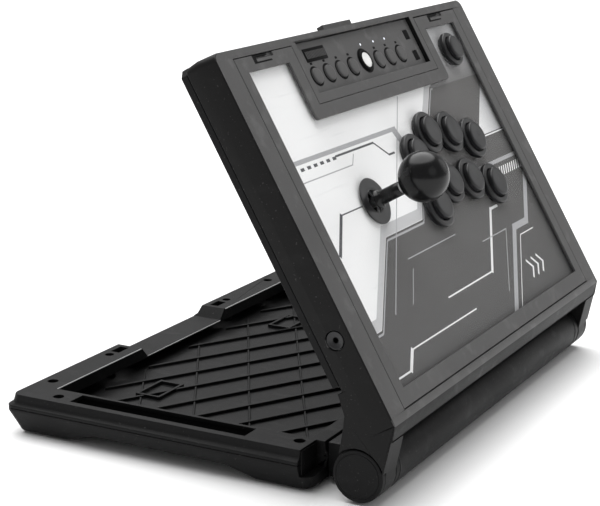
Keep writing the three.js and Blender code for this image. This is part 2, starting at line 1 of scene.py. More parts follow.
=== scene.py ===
"""Looks of an arcade joystick panel: a tray base, a hinged lid, its lever, buttons and boards.

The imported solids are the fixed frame. Each operator dresses one group of them: it gives a
softened or finer piece for a solid, or a finish for one whose shape is right already.
Sizes are drawn in millimetres, in the lid's own frame or the base's, and brought to metres.
"""
import json
import math

import bmesh
import bpy
from bpy.props import FloatProperty, FloatVectorProperty, IntProperty, PointerProperty
from mathutils import Matrix, Vector


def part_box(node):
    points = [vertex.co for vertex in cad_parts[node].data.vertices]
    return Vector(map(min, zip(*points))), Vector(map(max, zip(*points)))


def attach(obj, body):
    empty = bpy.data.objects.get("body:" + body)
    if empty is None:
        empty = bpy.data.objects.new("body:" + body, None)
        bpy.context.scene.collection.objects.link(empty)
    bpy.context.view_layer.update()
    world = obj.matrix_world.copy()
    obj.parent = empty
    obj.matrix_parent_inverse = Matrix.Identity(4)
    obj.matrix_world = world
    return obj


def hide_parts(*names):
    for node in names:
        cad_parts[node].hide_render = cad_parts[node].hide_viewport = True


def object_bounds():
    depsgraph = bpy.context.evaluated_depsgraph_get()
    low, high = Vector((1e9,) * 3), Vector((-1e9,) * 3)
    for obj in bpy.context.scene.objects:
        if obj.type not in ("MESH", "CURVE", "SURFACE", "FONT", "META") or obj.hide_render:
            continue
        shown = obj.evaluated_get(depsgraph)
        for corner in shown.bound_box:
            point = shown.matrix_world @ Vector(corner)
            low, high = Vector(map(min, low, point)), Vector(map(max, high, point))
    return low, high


bl_info = {
    "name": "Arcade Joystick Panel",
    "version": (1, 0, 0),
    "blender": (4, 5, 0),
    "location": "View3D > Sidebar > Arcade Panel",
    "description": "Dresses the arcade joystick panel's solids with fine shapes and finishes",
    "category": "Object",
}

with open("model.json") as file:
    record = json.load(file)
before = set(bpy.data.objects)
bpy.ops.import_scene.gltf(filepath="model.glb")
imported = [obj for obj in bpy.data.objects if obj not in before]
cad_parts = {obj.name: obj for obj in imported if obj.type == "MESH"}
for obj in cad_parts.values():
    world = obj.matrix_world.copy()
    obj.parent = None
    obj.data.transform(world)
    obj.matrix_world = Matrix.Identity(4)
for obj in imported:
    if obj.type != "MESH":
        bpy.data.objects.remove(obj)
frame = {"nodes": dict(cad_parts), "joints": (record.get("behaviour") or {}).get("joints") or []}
CAD_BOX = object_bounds()

# ---- The lid's own frame: X along the hinge, Y towards the lid's free edge, Z out of its face
JOINTS = {joint["name"]: joint for joint in frame["joints"]}
HINGE = Vector(JOINTS["lid_hinge"]["pos_m"])
LID_REAR = -Vector(JOINTS["latch_slide"]["axis"])
LID_ANGLE = math.atan2(LID_REAR.z, LID_REAR.y)
MILLI = Matrix.Scale(0.001, 4)
LID_PLACE = Matrix.Translation(HINGE) @ Matrix.Rotation(LID_ANGLE, 4, "X") @ MILLI
BASE_PLACE = MILLI
# The lid's frame turned over, for what grows on an underside: its Y and Z run the other way
UNDER_PLACE = LID_PLACE @ Matrix.Rotation(math.pi, 4, "X")
LARGE_BUTTONS = [f"{row}_{i}" for row in ("upper", "lower") for i in range(1, 5)]
ALL_BUTTONS = [*LARGE_BUTTONS, "corner"]
STRIP_BUTTONS = [f"strip_button_{i}" for i in range(1, 8)]

# ---- Places and steps that the solids' boxes don't give, in millimetres where they are lengths
RAIL_DEEP = 27.5  # rear rail, from the rim's rear edge to its inner face
SCREW_SEAT = 18.0  # top of the posts that carry the rim's screws
SEAM_TAB_STARTS = (-160, 128.5)  # left ends of the snap tabs in the bezel's rear seam
LAMP_PLACES = (2.5, 24.5, 44.5)
GAP_SHADE_WIDTH = 1.6  # width of the dark ring of painted gap shade round a strip button
RIM_TALL = 4.6  # height of a push button's rim
CASE_POST = 26  # corner posts of the lever's case, from its middle
SWITCH_OUT = 24  # microswitches, from the lever's middle
BEZEL_PALER_LIT = 12.5  # how many times paler than the lid the bezel is (next line, the strip); the step is partly painted light on their upward faces
STRIP_PALER_LIT = 13


def lid_box(node):
    """Lowest and highest corner of a solid in the lid's frame, in millimetres."""
    back = LID_PLACE.inverted()
    points = [back @ vertex.co for vertex in frame["nodes"][node].data.vertices]
    low = Vector(min(p[i] for p in points) for i in range(3))
    high = Vector(max(p[i] for p in points) for i in range(3))
    return low, high


def base_box(node):
    """Lowest and highest corner of a solid in the whole object's frame, in millimetres."""
    low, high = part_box(node)
    return low * 1000, high * 1000


# ---- Node graphs ------------------------------------------------------------------------
class Wire:
    """One output socket that takes part in sums."""

    def __init__(self, graph, socket):
        self.graph = graph
        self.socket = socket

    def _math(self, operation, *values):
        return self.graph.add("ShaderNodeMath", {"operation": operation}, dict(enumerate(values)))

    def __add__(self, other):
        return self._math("ADD", self, other)

    def __radd__(self, other):
        return self._math("ADD", other, self)

    def __sub__(self, other):
        return self._math("SUBTRACT", self, other)

    def __rsub__(self, other):
        return self._math("SUBTRACT", other, self)

    def __mul__(self, other):
        return self._math("MULTIPLY", self, other)

    def __rmul__(self, other):
        return self._math("MULTIPLY", other, self)

    def __truediv__(self, other):
        return self._math("DIVIDE", self, other)

    def __lt__(self, other):
        return self._math("LESS_THAN", self, other)

    def near(self, middle, reach):
        return self._math("COMPARE", self, middle, reach)

    def fraction(self):
        return self._math("FRACT", self)

    def between(self, low, high):
        """0 at low and under, 1 at high and over, straight in between."""
        return self.graph.add(
            "ShaderNodeMapRange", {"clamp": True},
            {"Value": self, "From Min": low, "From Max": high, "To Min": 0.0, "To Max": 1.0},
        )


class Graph:
    """A node tree that is written as calls."""

    def __init__(self, tree):
        self.tree = tree

    def add(self, kind, settings=None, sockets=None, output=0):
        """Adds a node, sets its settings, then its sockets by value or wire."""
        node = self.tree.nodes.new(kind)
        for key, value in (settings or {}).items():
            if key == "stops":
                self._stops(node.color_ramp, value)
            elif key == "line":
                self._line(node.mapping, value)
            else:
                setattr(node, key, value)
        for key, value in (sockets or {}).items():
            for single in value if isinstance(value, list) else [value]:
                if isinstance(single, Wire):
                    self.tree.links.new(single.socket, node.inputs[key])
                else:
                    node.inputs[key].default_value = single
        return Wire(self, node.outputs[output]) if node.outputs else None

    @staticmethod
    def _stops(ramp, stops):
        while len(ramp.elements) < len(stops):
            ramp.elements.new(0.5)
        for element, (position, colour) in zip(ramp.elements, stops):
            element.position = position
            element.color = (*colour, 1.0)

    @staticmethod
    def _line(mapping, points):
        curve = mapping.curves[0]
        while len(curve.points) < len(points):
            curve.points.new(0.5, 0.5)
        for point, (x, y) in zip(curve.points, points):
            point.location = (x, y)
            point.handle_type = "VECTOR"
        mapping.update()


class Finish(Graph):
    """A material under construction, ending in one Principled shader."""

    def __init__(self, name):
        self.material = bpy.data.materials.new(name)
        self.material.use_nodes = True
        super().__init__(self.material.node_tree)
        self.tree.nodes.clear()
        self.place = self.add("ShaderNodeTexCoord", output="Object")

    def noise(self, size, detail=3.0, stretch=(1, 1, 1), turn=(0, 0, 0)):
        """Noise whose features are about `size` metres across."""
        where = self.place
        if stretch != (1, 1, 1) or turn != (0, 0, 0):
            where = self.add("ShaderNodeMapping", None, {
                "Vector": self.place, "Scale": stretch, "Rotation": turn,
            })
        return self.add("ShaderNodeTexNoise", None, {
            "Vector": where, "Scale": 1 / size, "Detail": detail,
        })

    def cells(self, size):
        return self.add("ShaderNodeTexVoronoi", {"feature": "F1"}, {
            "Vector": self.place, "Scale": 1 / size,
        })

    def blend(self, factor, first, second):
        """From the first colour to the second as the factor goes from 0 to 1."""
        return self.add("ShaderNodeMix", {"data_type": "RGBA"}, {
            "Factor": factor, 6: self._colour(first), 7: self._colour(second),
        }, output=2)

    @staticmethod
    def _colour(value):
        return value if isinstance(value, Wire) else (*value, 1.0)

    def bump(self, height, depth, strength=1.0):
        return self.add("ShaderNodeBump", None, {
            "Height": height, "Distance": depth, "Strength": strength,
        })

    def end(self, sockets):
        shader = self.add("ShaderNodeBsdfPrincipled", None, sockets)
        self.add("ShaderNodeOutputMaterial", None, {"Surface": shader})
        return self.material


def shade(colour, factor):
    return tuple(min(1.0, channel * factor) for channel in colour[:3])


def textured_moulding(name, colour, roughness, grain=0.00075, depth=0.00009, dust=0.12):
    """Moulding with a fine spark-eroded texture, handling marks and a little dust."""
    paint = Finish(name)
    texture = paint.cells(grain)
    fine = paint.noise(grain * 0.5, 2)
    broad = paint.noise(0.045, 4)
    rubbed = paint.noise(0.012, 5, stretch=(1, 0.35, 1)).between(0.56, 0.7)
    specks = paint.noise(0.0016, 2).between(0.69, 0.74)
    tone = paint.blend(broad, shade(colour, 0.8), shade(colour, 1.22))
    tone = paint.blend(rubbed * 0.35, tone, shade(colour, 1.7))
    tone = paint.blend(specks * dust, tone, (0.32, 0.31, 0.3))
    rough = roughness + (broad - 0.5) * 0.16 + (fine - 0.5) * 0.1 - rubbed * 0.07
    return paint.end({
        "Base Color": tone, "Roughness": rough, "Specular IOR Level": 0.14,
        "Normal": paint.bump(texture * 0.7 + fine * 0.5, depth),
    })


def satin_moulding(name, colour, roughness, coat=0.0, gloss=0.35):
    """Smooth injection-moulded plastic, faintly rippled, with finger marks in its sheen."""
    paint = Finish(name)
    ripple = paint.noise(0.006, 2)
    fine = paint.noise(0.0005, 2)
    touch = paint.noise(0.014, 5).between(0.45, 0.72)
    hair = paint.noise(0.0022, 3, stretch=(0.12, 1, 1), turn=(0, 0, 0.6)).between(0.66, 0.72)
    tone = paint.blend(ripple, shade(colour, 0.85), shade(colour, 1.15))
    tone = paint.blend(hair * 0.25, tone, shade(colour, 2.4))
    return paint.end({
        "Base Color": tone, "Roughness": roughness + touch * 0.1 + (fine - 0.5) * 0.06 + hair * 0.1,
        "Coat Weight": coat, "Coat Roughness": 0.12, "Specular IOR Level": gloss,
        "Normal": paint.bump(ripple * 0.5 + fine * 0.1, 0.00002),
    })


def brushed_metal(name, colour, roughness, turn=(0, 0, 0)):
    """Plated sheet with fine brushing and a cloudy zinc bloom."""
    paint = Finish(name)
    brush = paint.noise(0.0009, 3, stretch=(0.03, 1, 1), turn=turn)
    bloom = paint.noise(0.018, 4)
    tone = paint.blend(bloom, shade(colour, 0.82), shade(colour, 1.1))
    return paint.end({
        "Base Color": tone, "Metallic": 1.0,
        "Roughness": roughness + (brush - 0.5) * 0.18 + (bloom - 0.5) * 0.16,
        "Normal": paint.bump(brush, 0.00003),
    })


def rubber(name, colour):
    paint = Finish(name)
    grit = paint.noise(0.0004, 3)
    dusty = paint.noise(0.006, 4).between(0.5, 0.75)
    return paint.end({
        "Base Color": paint.blend(dusty * 0.4, colour, shade(colour, 3.0)),
        "Roughness": 0.82 + (grit - 0.5) * 0.12, "Normal": paint.bump(grit, 0.0001),
    })


def solder_mask(name, colour):
    """Green board: copper runs show through the mask as paler raised lines."""
    paint = Finish(name)
    runs = paint.add("ShaderNodeTexBrick", {"offset": 0.37, "squash": 0.6, "squash_frequency": 3}, {
        "Vector": paint.place, "Scale": 150.0, "Mortar Size": 0.11, "Mortar Smooth": 0.25,
        "Brick Width": 0.9, "Row Height": 0.3,
    }, output="Fac")
    cloud = paint.noise(0.01, 3)
    tone = paint.blend(runs, colour, shade(colour, 2.1))
    return paint.end({
        "Base Color": tone, "Roughness": 0.34 + cloud * 0.16, "Normal": paint.bump(runs, 0.00004),
    })


def clear_sheet(name):
    """Clear polished cover: nearly unseen, with hairline marks in its gloss."""
    paint = Finish(name)
    hair = paint.noise(0.004, 4, stretch=(0.08, 1, 1), turn=(0, 0, 0.9)).between(0.6, 0.72)
    smear = paint.noise(0.05, 4)
    return paint.end({
        "Base Color": (0.9, 0.92, 0.93, 1.0), "Roughness": 0.05 + hair * 0.12 + smear * 0.05,
        "Alpha": 0.04 + hair * 0.03, "Specular IOR Level": 0.2,
    })


def soft_glow(name, colour, strength):
    paint = Finish(name)
    cloud = paint.noise(0.002, 2)
    return paint.end({
        "Base Color": (*colour, 1.0), "Roughness": 0.25 + cloud * 0.15,
        "Emission Color": paint.blend(cloud, shade(colour, 0.8), colour),
        "Emission Strength": strength,
    })


class PrintFinish(Finish):
    """The printed sheet: panels, bands and rules laid out on the lid in millimetres."""

    def __init__(self, name):
        super().__init__(name)
        shift = (Matrix.Rotation(-LID_ANGLE, 3, "X") @ HINGE) * -1000
        self.spot = self.add("ShaderNodeMapping", None, {
            "Vector": self.place, "Scale": (1000, 1000, 1000), "Rotation": (-LID_ANGLE, 0, 0),
            "Location": shift,
        })
        self.x = self.add("ShaderNodeSeparateXYZ", None, {0: self.spot}, output=0)
        self.y = self.add("ShaderNodeSeparateXYZ", None, {0: self.spot}, output=1)

    def along(self, direction):
        return self.add("ShaderNodeVectorMath", {"operation": "DOT_PRODUCT"}, {
            0: self.spot, 1: (direction.x, direction.y, 0.0),
        }, output="Value")

    def rule(self, start, end, width):
        """1 inside a straight rule of that width, with square ends."""
        a, b = Vector(start), Vector(end)
        run = (b - a).normalized()
        cross = Vector((-run.y, run.x))
        middle = (a + b) / 2
        long = self.along(run).near(middle.dot(run), (b - a).length / 2 + width * 0.4)
        return long * self.along(cross).near(middle.dot(cross), width / 2)

    def inside(self, *corners):
        """1 inside a convex outline given anticlockwise."""
        mask = 1.0
        for i, corner in enumerate(corners):
            a, b = Vector(corner), Vector(corners[(i + 1) % len(corners)])
            out = Vector((b.y - a.y, a.x - b.x)).normalized()
            mask = (self.along(out) < a.dot(out)) * mask
        return mask


# Printed layout in the lid's frame, in millimetres from SHEET_CORNER: start, end, width, tone
SHEET_CORNER = Vector((-198.0, 22.3))
LAYOUT_WIDE, LAYOUT_DEEP = 408, 300
STEPPED_WIDE = 284  # the stepped border's bands stop here
PALE, MID, DEEP = (0.8, 0.8, 0.8), (0.36, 0.36, 0.37), (0.035, 0.035, 0.04)
RULES = (
    ((33, 184.5), (192, 184.5), 3.4, MID), ((90, 180), (150, 180), 1.6, DEEP),
    ((150, 180), (165, 167.5), 1.6, DEEP), ((165, 167.5), (174, 167.5), 1.6, DEEP),
    ((33, 170), (107, 170), 0.9, MID), ((107, 170), (115, 177), 0.9, MID),
    ((35, 115), (60, 140), 3.2, DEEP), ((60, 140), (93, 140), 1.0, DEEP),
    ((220, 207), (68, 62), 1.0, MID), ((190, 182), (199, 158), 8.0, MID),
    ((30, 23), (53, 23), 1.4, PALE), ((53, 23), (67, 35), 3.2, PALE),
    ((67, 35), (182, 35), 1.1, PALE), ((150, 53), (235, 53), 1.2, PALE),
    ((235, 53), (282, 97), 3.0, PALE), ((282, 97), (296, 97), 2.2, PALE),
    ((243, 77), (292, 77), 0.8, MID), ((292, 77), (247, 33), 0.8, MID),
    ((238, 12), (308, 75), 5.5, MID), ((308, 75), (335, 75), 5.5, MID),
    ((335, 75), (376, 112), 5.5, MID), ((246, 8), (312, 67), 0.9, PALE),
    ((312, 67), (340, 67), 0.9, PALE), ((332, 153), (376, 153), 1.2, PALE),
    ((287, 130), (376, 130), 3.2, MID), ((287, 130), (272, 116), 3.2, MID),
    ((120, 92), (205, 92), 0.8, MID), ((97, 62), (120, 84), 0.8, MID),
)
CHEVRONS = (300, 311, 322)
BOUNDARY = ((0, 57), (41, 57), (104, 113), (167, 113), (187, 133), (257, 188), (280, 207), (408, 214))


def printed_sheet(name, light, dark):
    """White and warm grey panels with a stepped border, bands, rules and dashes."""
    paint = PrintFinish(name)
    corner = SHEET_CORNER
    across, up = paint.x - corner.x, paint.y - corner.y
    line = [(u / LAYOUT_WIDE, v / LAYOUT_DEEP) for u, v in BOUNDARY]
    edge = paint.add("ShaderNodeFloatCurve", {"line": line}, {
        "Value": across / LAYOUT_WIDE,
    }) * LAYOUT_DEEP
    cloud = paint.noise(0.09, 2)
    fleck = paint.noise(0.0007, 2)
    # Painted light: the dark panels are paler towards the lid's top edge, where more light falls on the
    # face
    painted_top_light = (up / 270).between(0.0, 1.0)
    night = paint.blend(painted_top_light, shade(dark, 0.62), shade(dark, 1.3))
    day = paint.blend(cloud, shade(light, 0.86), light)
    tone = paint.blend((up - edge).between(-0.3, 0.3), night, day)
    stepped = across < STEPPED_WIDE
    tone = paint.blend((up - edge).near(4.6, 4.2) * stepped * 0.8, tone, (0.42, 0.42, 0.43))
    tone = paint.blend((up - edge).near(-2.5, 0.8) * stepped, tone, MID)
    lifted = paint.blend(((up - 196) / 60).between(0.0, 1.0), night, (0.5, 0.5, 0.51))
    tone = paint.blend(paint.inside(*(corner + Vector(p) for p in (
        (281, 205), (408, 205), (408, 280), (340, 280)))), tone, lifted)
    for start, end, width, ink in RULES:
        mark = paint.rule(corner + Vector(start), corner + Vector(end), width)
        tone = paint.blend(mark, tone, ink)
    for x in CHEVRONS:
        for y in (32, 46):
            mark = paint.rule(corner + Vector((x, y)), corner + Vector((x + 7, 39)), 2.2)
            tone = paint.blend(mark, tone, PALE)
    wedge = paint.inside(*(corner + Vector(p) for p in (
        (331, 154.5), (376, 154.5), (376, 198), (331, 160.5))))
    tone = paint.blend(wedge, tone, paint.blend(((across - 334) / 40).between(0.0, 1.0), PALE, MID))
    dashes = ((across / 9.4).fraction() < 0.55) * paint.rule(
        corner + Vector((37, 179)), corner + Vector((91, 179)), 2.4)
    tone = paint.blend(dashes, tone, DEEP)
    slanted = (((across - up * 0.785) / 4.6).fraction() < 0.45) * paint.rule(
        corner + Vector((335, 121)), corner + Vector((374, 121)), 7.4)
    tone = paint.blend(slanted, tone, PALE)
    tone = paint.blend(fleck * 0.006, tone, (0.3, 0.3, 0.3))
    return paint.end({
        "Base Color": tone, "Roughness": 0.36 + fleck * 0.02 + cloud * 0.08, "Specular IOR Level": 0.15,
        "Normal": paint.bump(fleck, 0.0000015),
    })


# ---- Settings ---------------------------------------------------------------------------
class PanelFinishes(bpy.types.PropertyGroup):
    """Colours of the panel's finishes."""

    base_colour: FloatVectorProperty(
        name="Base", description="Textured moulding of the tray base and lower frame",
        subtype="COLOR", size=3, min=0, max=1, default=(0.0052, 0.0052, 0.0054))
    # The bezel and strip take this colour made paler, partly as painted light on their upward faces
    lid_colour: FloatVectorProperty(
        name="Lid", description="Textured moulding of the lid; the bezel and strip are paler steps of it",
        subtype="COLOR", size=3, min=0, max=1, default=(0.0067, 0.0066, 0.0066))
    button_colour: FloatVectorProperty(
        name="Buttons", description="Satin plastic of the push buttons",
        subtype="COLOR", size=3, min=0, max=1, default=(0.009, 0.009, 0.0098))
    ball_colour: FloatVectorProperty(
        name="Ball top", description="Polished plastic of the lever's ball and cover",
        subtype="COLOR", size=3, min=0, max=1, default=(0.003, 0.003, 0.0033))
    print_light: FloatVectorProperty(
        name="Light print", description="Light panels of the printed sheet",
        subtype="COLOR", size=3, min=0, max=1, default=(0.93, 0.93, 0.93))
    print_dark: FloatVectorProperty(
        name="Dark print", description="Dark panels of the printed sheet",
        subtype="COLOR", size=3, min=0, max=1, default=(0.044, 0.039, 0.037))


class PanelSizes(bpy.types.PropertyGroup):
    """Sizes that the operators add to the solids' own, in millimetres."""

    shell_round: FloatProperty(
        name="Shell edge", description="Radius on the outer edges of the large mouldings",
        default=0.7, min=0.1, max=1.5)
    bezel_round: FloatProperty(
        name="Bezel edge", description="Radius on the edges of the bezel and control strip",
        default=0.45, min=0.1, max=1.0)
    rim_round: FloatProperty(
        name="Rim edge", description="Radius on the push buttons' rims", default=1.5, min=0.4, max=1.9)
    plunger_dome: FloatProperty(
        name="Plunger dome", description="How far a plunger's edge falls away", default=1.3,
        min=0.3, max=2.0)
    screw_radius: FloatProperty(
        name="Screw head", description="Radius of the pan-head screws", default=2.7, min=1.0, max=4.0)
    chip_seed: IntProperty(
        name="Chip seed", description="Seed of the boards' part layout", default=11, min=0)


class PanelStage(bpy.types.PropertyGroup):
    """Camera and light."""

    camera_place: FloatVectorProperty(
        name="Camera", description="Where the camera stands", subtype="TRANSLATION", unit="LENGTH",
        size=3, default=(-1.1265, -0.59, 0.4382))
    camera_aim: FloatVectorProperty(
        name="Aim", description="The way the camera looks", subtype="DIRECTION", size=3,
        default=(0.8513, 0.4623, -0.2483))
    camera_lens: FloatProperty(
        name="Lens", description="Focal length in millimetres", default=98.9, min=20, max=300)
    key_power: FloatProperty(
        name="Ceiling", description="Strength of the even light from above", default=4.1, min=0)
    fill_power: FloatProperty(
        name="Fill light", description="Power of the side softbox", unit="POWER", default=7.0)
    sky_strength: FloatProperty(
        name="Surround", description="Strength of the pale surround", default=0.35, min=0)


class PanelSettings(bpy.types.PropertyGroup):
    """Everything a user may change."""

    finishes: PointerProperty(type=PanelFinishes)
    sizes: PointerProperty(type=PanelSizes)
    stage: PointerProperty(type=PanelStage)


def finish_named(name, settings):
    """The panel's finish of that name, made the first time it is asked for."""
    label = f"{name}_finish"
    found = bpy.data.materials.get(label)
    if found:
        return found
    colours = settings.finishes
    base, lid, button, ball = (
        tuple(getattr(colours, f"{part}_colour")) for part in ("base", "lid", "button", "ball"))
    recipes = {
        "base_moulding": lambda: textured_moulding(label, base, 0.5),
        "lid_moulding": lambda: textured_moulding(label, lid, 0.46, grain=0.0006, depth=0.00007),
        # Bezel and strip: the lid's colour made paler, partly painted light on their upward faces; the
        # latch and strip buttons share it
        "bezel_moulding": lambda: textured_moulding(
            label, shade(lid, BEZEL_PALER_LIT), 0.42, grain=0.0005, depth=0.00006, dust=0.1),
        "strip_moulding": lambda: textured_moulding(
            label, shade(lid, STRIP_PALER_LIT), 0.44, grain=0.0004, depth=0.00004, dust=0.08),
        "button_plastic": lambda: satin_moulding(label, shade(button, 1.3), 0.3),
        "key_plastic": lambda: satin_moulding(label, shade(button, 1.5), 0.34),
        "ball_plastic": lambda: satin_moulding(label, ball, 0.2, gloss=0.28),
        "white_plastic": lambda: satin_moulding(label, (0.82, 0.82, 0.8), 0.28, coat=0.2),
        # Grey of the painted highlight on the rear rail's lit edge
        "pale_lip": lambda: satin_moulding(label, (0.5, 0.5, 0.5), 0.3),
        "lever_nylon": lambda: satin_moulding(label, (0.02, 0.02, 0.02), 0.4),
        "foot_rubber": lambda: rubber(label, (0.014, 0.014, 0.014)),
        "zinc_sheet": lambda: brushed_metal(label, (0.56, 0.56, 0.57), 0.34),
        "bright_steel": lambda: brushed_metal(label, (0.42, 0.42, 0.43), 0.3, turn=(0, 0, 1.2)),
        "brass_tab": lambda: brushed_metal(label, (0.75, 0.56, 0.24), 0.3),
        "board_green": lambda: solder_mask(label, (0.012, 0.075, 0.03)),
        "chip_black": lambda: satin_moulding(label, (0.002, 0.002, 0.0022), 0.6, gloss=0.1),
        "clear_cover": lambda: clear_sheet(label),
        "lamp_white": lambda: soft_glow(label, (0.9, 0.93, 1.0), 0.5),
        "printed_sheet": lambda: printed_sheet(
            label, tuple(colours.print_light), tuple(colours.print_dark)),
    }
    return recipes[name]()


# ---- Mesh making ------------------------------------------------------------------------
class Maker:
    """Closed parts gathered in one mesh, drawn in millimetres."""

    def __init__(self):
        self.bm = bmesh.new()

    def _take(self, part, slot):
        for face in part.faces:
            face.material_index = slot
        mesh = bpy.data.meshes.new("part")
        bmesh.ops.recalc_face_normals(part, faces=part.faces)
        part.to_mesh(mesh)
        part.free()
        self.bm.from_mesh(mesh)
        bpy.data.meshes.remove(mesh)

    def block(self, low, high, edge=0.0, slot=0):
        low, high = Vector(low), Vector(high)
        part = bmesh.new()
        bmesh.ops.create_cube(part, size=1.0)
        for vertex in part.verts:
            vertex.co = low + Vector(
                (vertex.co[i] + 0.5) * (high[i] - low[i]) for i in range(3))
        if edge:
            bmesh.ops.bevel(part, geom=list(part.edges), offset=edge, segments=2, profile=0.5,
                            affect="EDGES")
        self._take(part, slot)

    def turn(self, profile, centre, sides=64, slot=0, along="Z", ring=False):
        """A profile of (radius, height) turned about a line; a ring's profile closes on itself."""
        part = bmesh.new()
        rings = []
        for radius, height in profile:
            if radius < 1e-6:
                rings.append([part.verts.new((0, 0, height))])
                continue
            rings.append([
                part.verts.new((radius * math.cos(a), radius * math.sin(a), height))
                for a in (math.tau * i / sides for i in range(sides))
            ])
        pairs = list(zip(rings, rings[1:]))
        if ring:
            pairs.append((rings[-1], rings[0]))
        for first, second in pairs:
            for i in range(sides):
                j = (i + 1) % sides
                loop = [first[i % len(first)], first[j % len(first)],
                        second[j % len(second)], second[i % len(second)]]
                unique = list(dict.fromkeys(loop))
                if len(unique) > 2:
                    part.faces.new(unique)
        if along == "X":
            part.transform(Matrix.Rotation(math.pi / 2, 4, "Y"))
        part.transform(Matrix.Translation(Vector(centre)))
        self._take(part, slot)

    def make(self, name, materials, place, sharp=32):
        mesh = bpy.data.meshes.new(name)
        self.bm.transform(place)
        self.bm.to_mesh(mesh)
        self.bm.free()
        for material in materials:
            mesh.materials.append(material)
        return shown(name, mesh, sharp)


def shown(name, mesh, sharp=32):
    mesh.shade_smooth()
    mesh.set_sharp_from_angle(angle=math.radians(sharp))
    made = bpy.data.objects.new(name, mesh)
    bpy.context.scene.collection.objects.link(made)
    return made


def arc(cx, cz, radius, start, end, steps=5):
    """Points of a profile's round corner, angles in degrees."""
    angles = [math.radians(start + (end - start) * i / steps) for i in range(steps + 1)]
    return [(cx + radius * math.cos(a), cz + radius * math.sin(a)) for a in angles]


def settle(piece, body, slot, *nodes):
    """The piece moves with a body and stands for these solids; the slot is not used."""
    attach(piece, body)
    if nodes:
        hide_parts(*nodes)
    return piece


def softened(node, name, edge, material, flat=30, whole=True):
    """A copy of a solid with its edges rounded, and its flats made whole again where asked."""
    bm = bmesh.new()
    bm.from_mesh(frame["nodes"][node].data)
    bmesh.ops.remove_doubles(bm, verts=bm.verts, dist=2e-5)
    if whole:
        bmesh.ops.dissolve_limit(bm, angle_limit=math.radians(1.0), verts=bm.verts, edges=bm.edges)
    mesh = bpy.data.meshes.new(name)
    bm.to_mesh(mesh)
    bm.free()
    mesh.materials.append(material)
    made = shown(name, mesh, 180)
    rounding = made.modifiers.new("edges", "BEVEL")
    rounding.width = edge / 1000
    rounding.segments = 3
    rounding.limit_method = "ANGLE"
    rounding.angle_limit = math.radians(flat)
    rounding.use_clamp_overlap = False
    weighting = made.modifiers.new("shading", "WEIGHTED_NORMAL")
    weighting.keep_sharp = True
    return made


def paint_solid(node, material):
    """A solid whose shape is right keeps its mesh and gets a finish."""
    slots = frame["nodes"][node].data.materials
    slots.clear()
    slots.append(material)


# ---- Geometry Nodes ---------------------------------------------------------------------
class Grower(Graph):
    """A Geometry Nodes tree with named inputs that ends in one realised, finished mesh."""

    def __init__(self, name, **inputs):
        tree = bpy.data.node_groups.new(name, "GeometryNodeTree")
        tree.interface.new_socket("Points", in_out="INPUT", socket_type="NodeSocketGeometry")
        tree.interface.new_socket("Mesh", in_out="OUTPUT", socket_type="NodeSocketGeometry")
        for label, kind in inputs.items():
            tree.interface.new_socket(
                label.replace("_", " "), in_out="INPUT", socket_type=f"NodeSocket{kind}")
        super().__init__(tree)
        self.group_input = tree.nodes.new("NodeGroupInput")
        self.points = self.given("Points")

    def given(self, label):
        return Wire(self, self.group_input.outputs[label])

    def vector(self, x=0.0, y=0.0, z=0.0):
        return self.add("ShaderNodeCombineXYZ", None, {"X": x, "Y": y, "Z": z})

    def box(self, x, y, z):
        return self.add("GeometryNodeMeshCube", None, {"Size": self.vector(x, y, z)})

    def drum(self, radius, height, sides=24, top=None):
        return self.add("GeometryNodeMeshCone", None, {
            "Vertices": sides, "Radius Top": radius if top is None else top,
            "Radius Bottom": radius, "Depth": height,
        })

    def moved(self, geometry, x=0.0, y=0.0, z=0.0):
        return self.add("GeometryNodeTransform", None, {
            "Geometry": geometry, "Translation": self.vector(x, y, z),
        })

    def hoop(self, outer, inner, height, middle, round_by, sides=64):
        """A ring whose section is a rectangle with rounded corners, `middle` high."""
        section = self.add("GeometryNodeCurvePrimitiveQuadrilateral", None, {
            "Width": outer - inner, "Height": height,
        })
        section = self.add("GeometryNodeFilletCurve", {"mode": "POLY"}, {
            "Curve": section, "Count": 4, "Radius": round_by, "Limit Radius": True,
        })
        path = self.add("GeometryNodeCurvePrimitiveCircle", None, {
            "Resolution": sides, "Radius": (outer + inner) / 2,
        })
        ring = self.add("GeometryNodeCurveToMesh", None, {"Curve": path, "Profile Curve": section})
        return self.moved(ring, z=middle)

    def finished(self, geometry, label):
        return self.add("GeometryNodeSetMaterial", None, {
            "Geometry": geometry, "Material": self.given(label),
        })

    def joined(self, *parts):
        return self.add("GeometryNodeJoinGeometry", None, {"Geometry": list(parts)})

    def placed(self, instance, points=None, **sockets):
        return self.add("GeometryNodeInstanceOnPoints", None, {
            "Points": points or self.points, "Instance": instance, **sockets,
        })

    def end(self, geometry, label):
        real = self.add("GeometryNodeRealizeInstances", None, {"Geometry": geometry})
        last = self.finished(real, label) if label else real
        output = self.tree.nodes.new("NodeGroupOutput")
        self.tree.links.new(last.socket, output.inputs["Mesh"])
        return self.tree


def grow(name, tree, points, values, place, sharp=32):
    """Runs a tree on points and keeps the result as a plain mesh in its place."""
    seeds = bpy.data.meshes.new(name)
    seeds.from_pydata([tuple(p) for p in points], [], [])
    host = bpy.data.objects.new(name, seeds)
    bpy.context.scene.collection.objects.link(host)
    modifier = host.modifiers.new("grow", "NODES")
    modifier.node_group = tree
    for item in tree.interface.items_tree:
        if item.in_out == "INPUT" and item.name in values:
            modifier[item.identifier] = values[item.name]
    host.update_tag()
    seen = host.evaluated_get(bpy.context.evaluated_depsgraph_get())
    mesh = bpy.data.meshes.new_from_object(seen)
    bpy.data.objects.remove(host)
    if not mesh.polygons:
        raise RuntimeError(f"{name} grew no faces")
    mesh.name = name
    mesh.transform(place)
    bm = bmesh.new()
    bm.from_mesh(mesh)
    bmesh.ops.remove_doubles(bm, verts=bm.verts, dist=1e-6)
    bmesh.ops.recalc_face_normals(bm, faces=bm.faces)
    bm.to_mesh(mesh)
    bm.free()
    return shown(name, mesh, sharp)


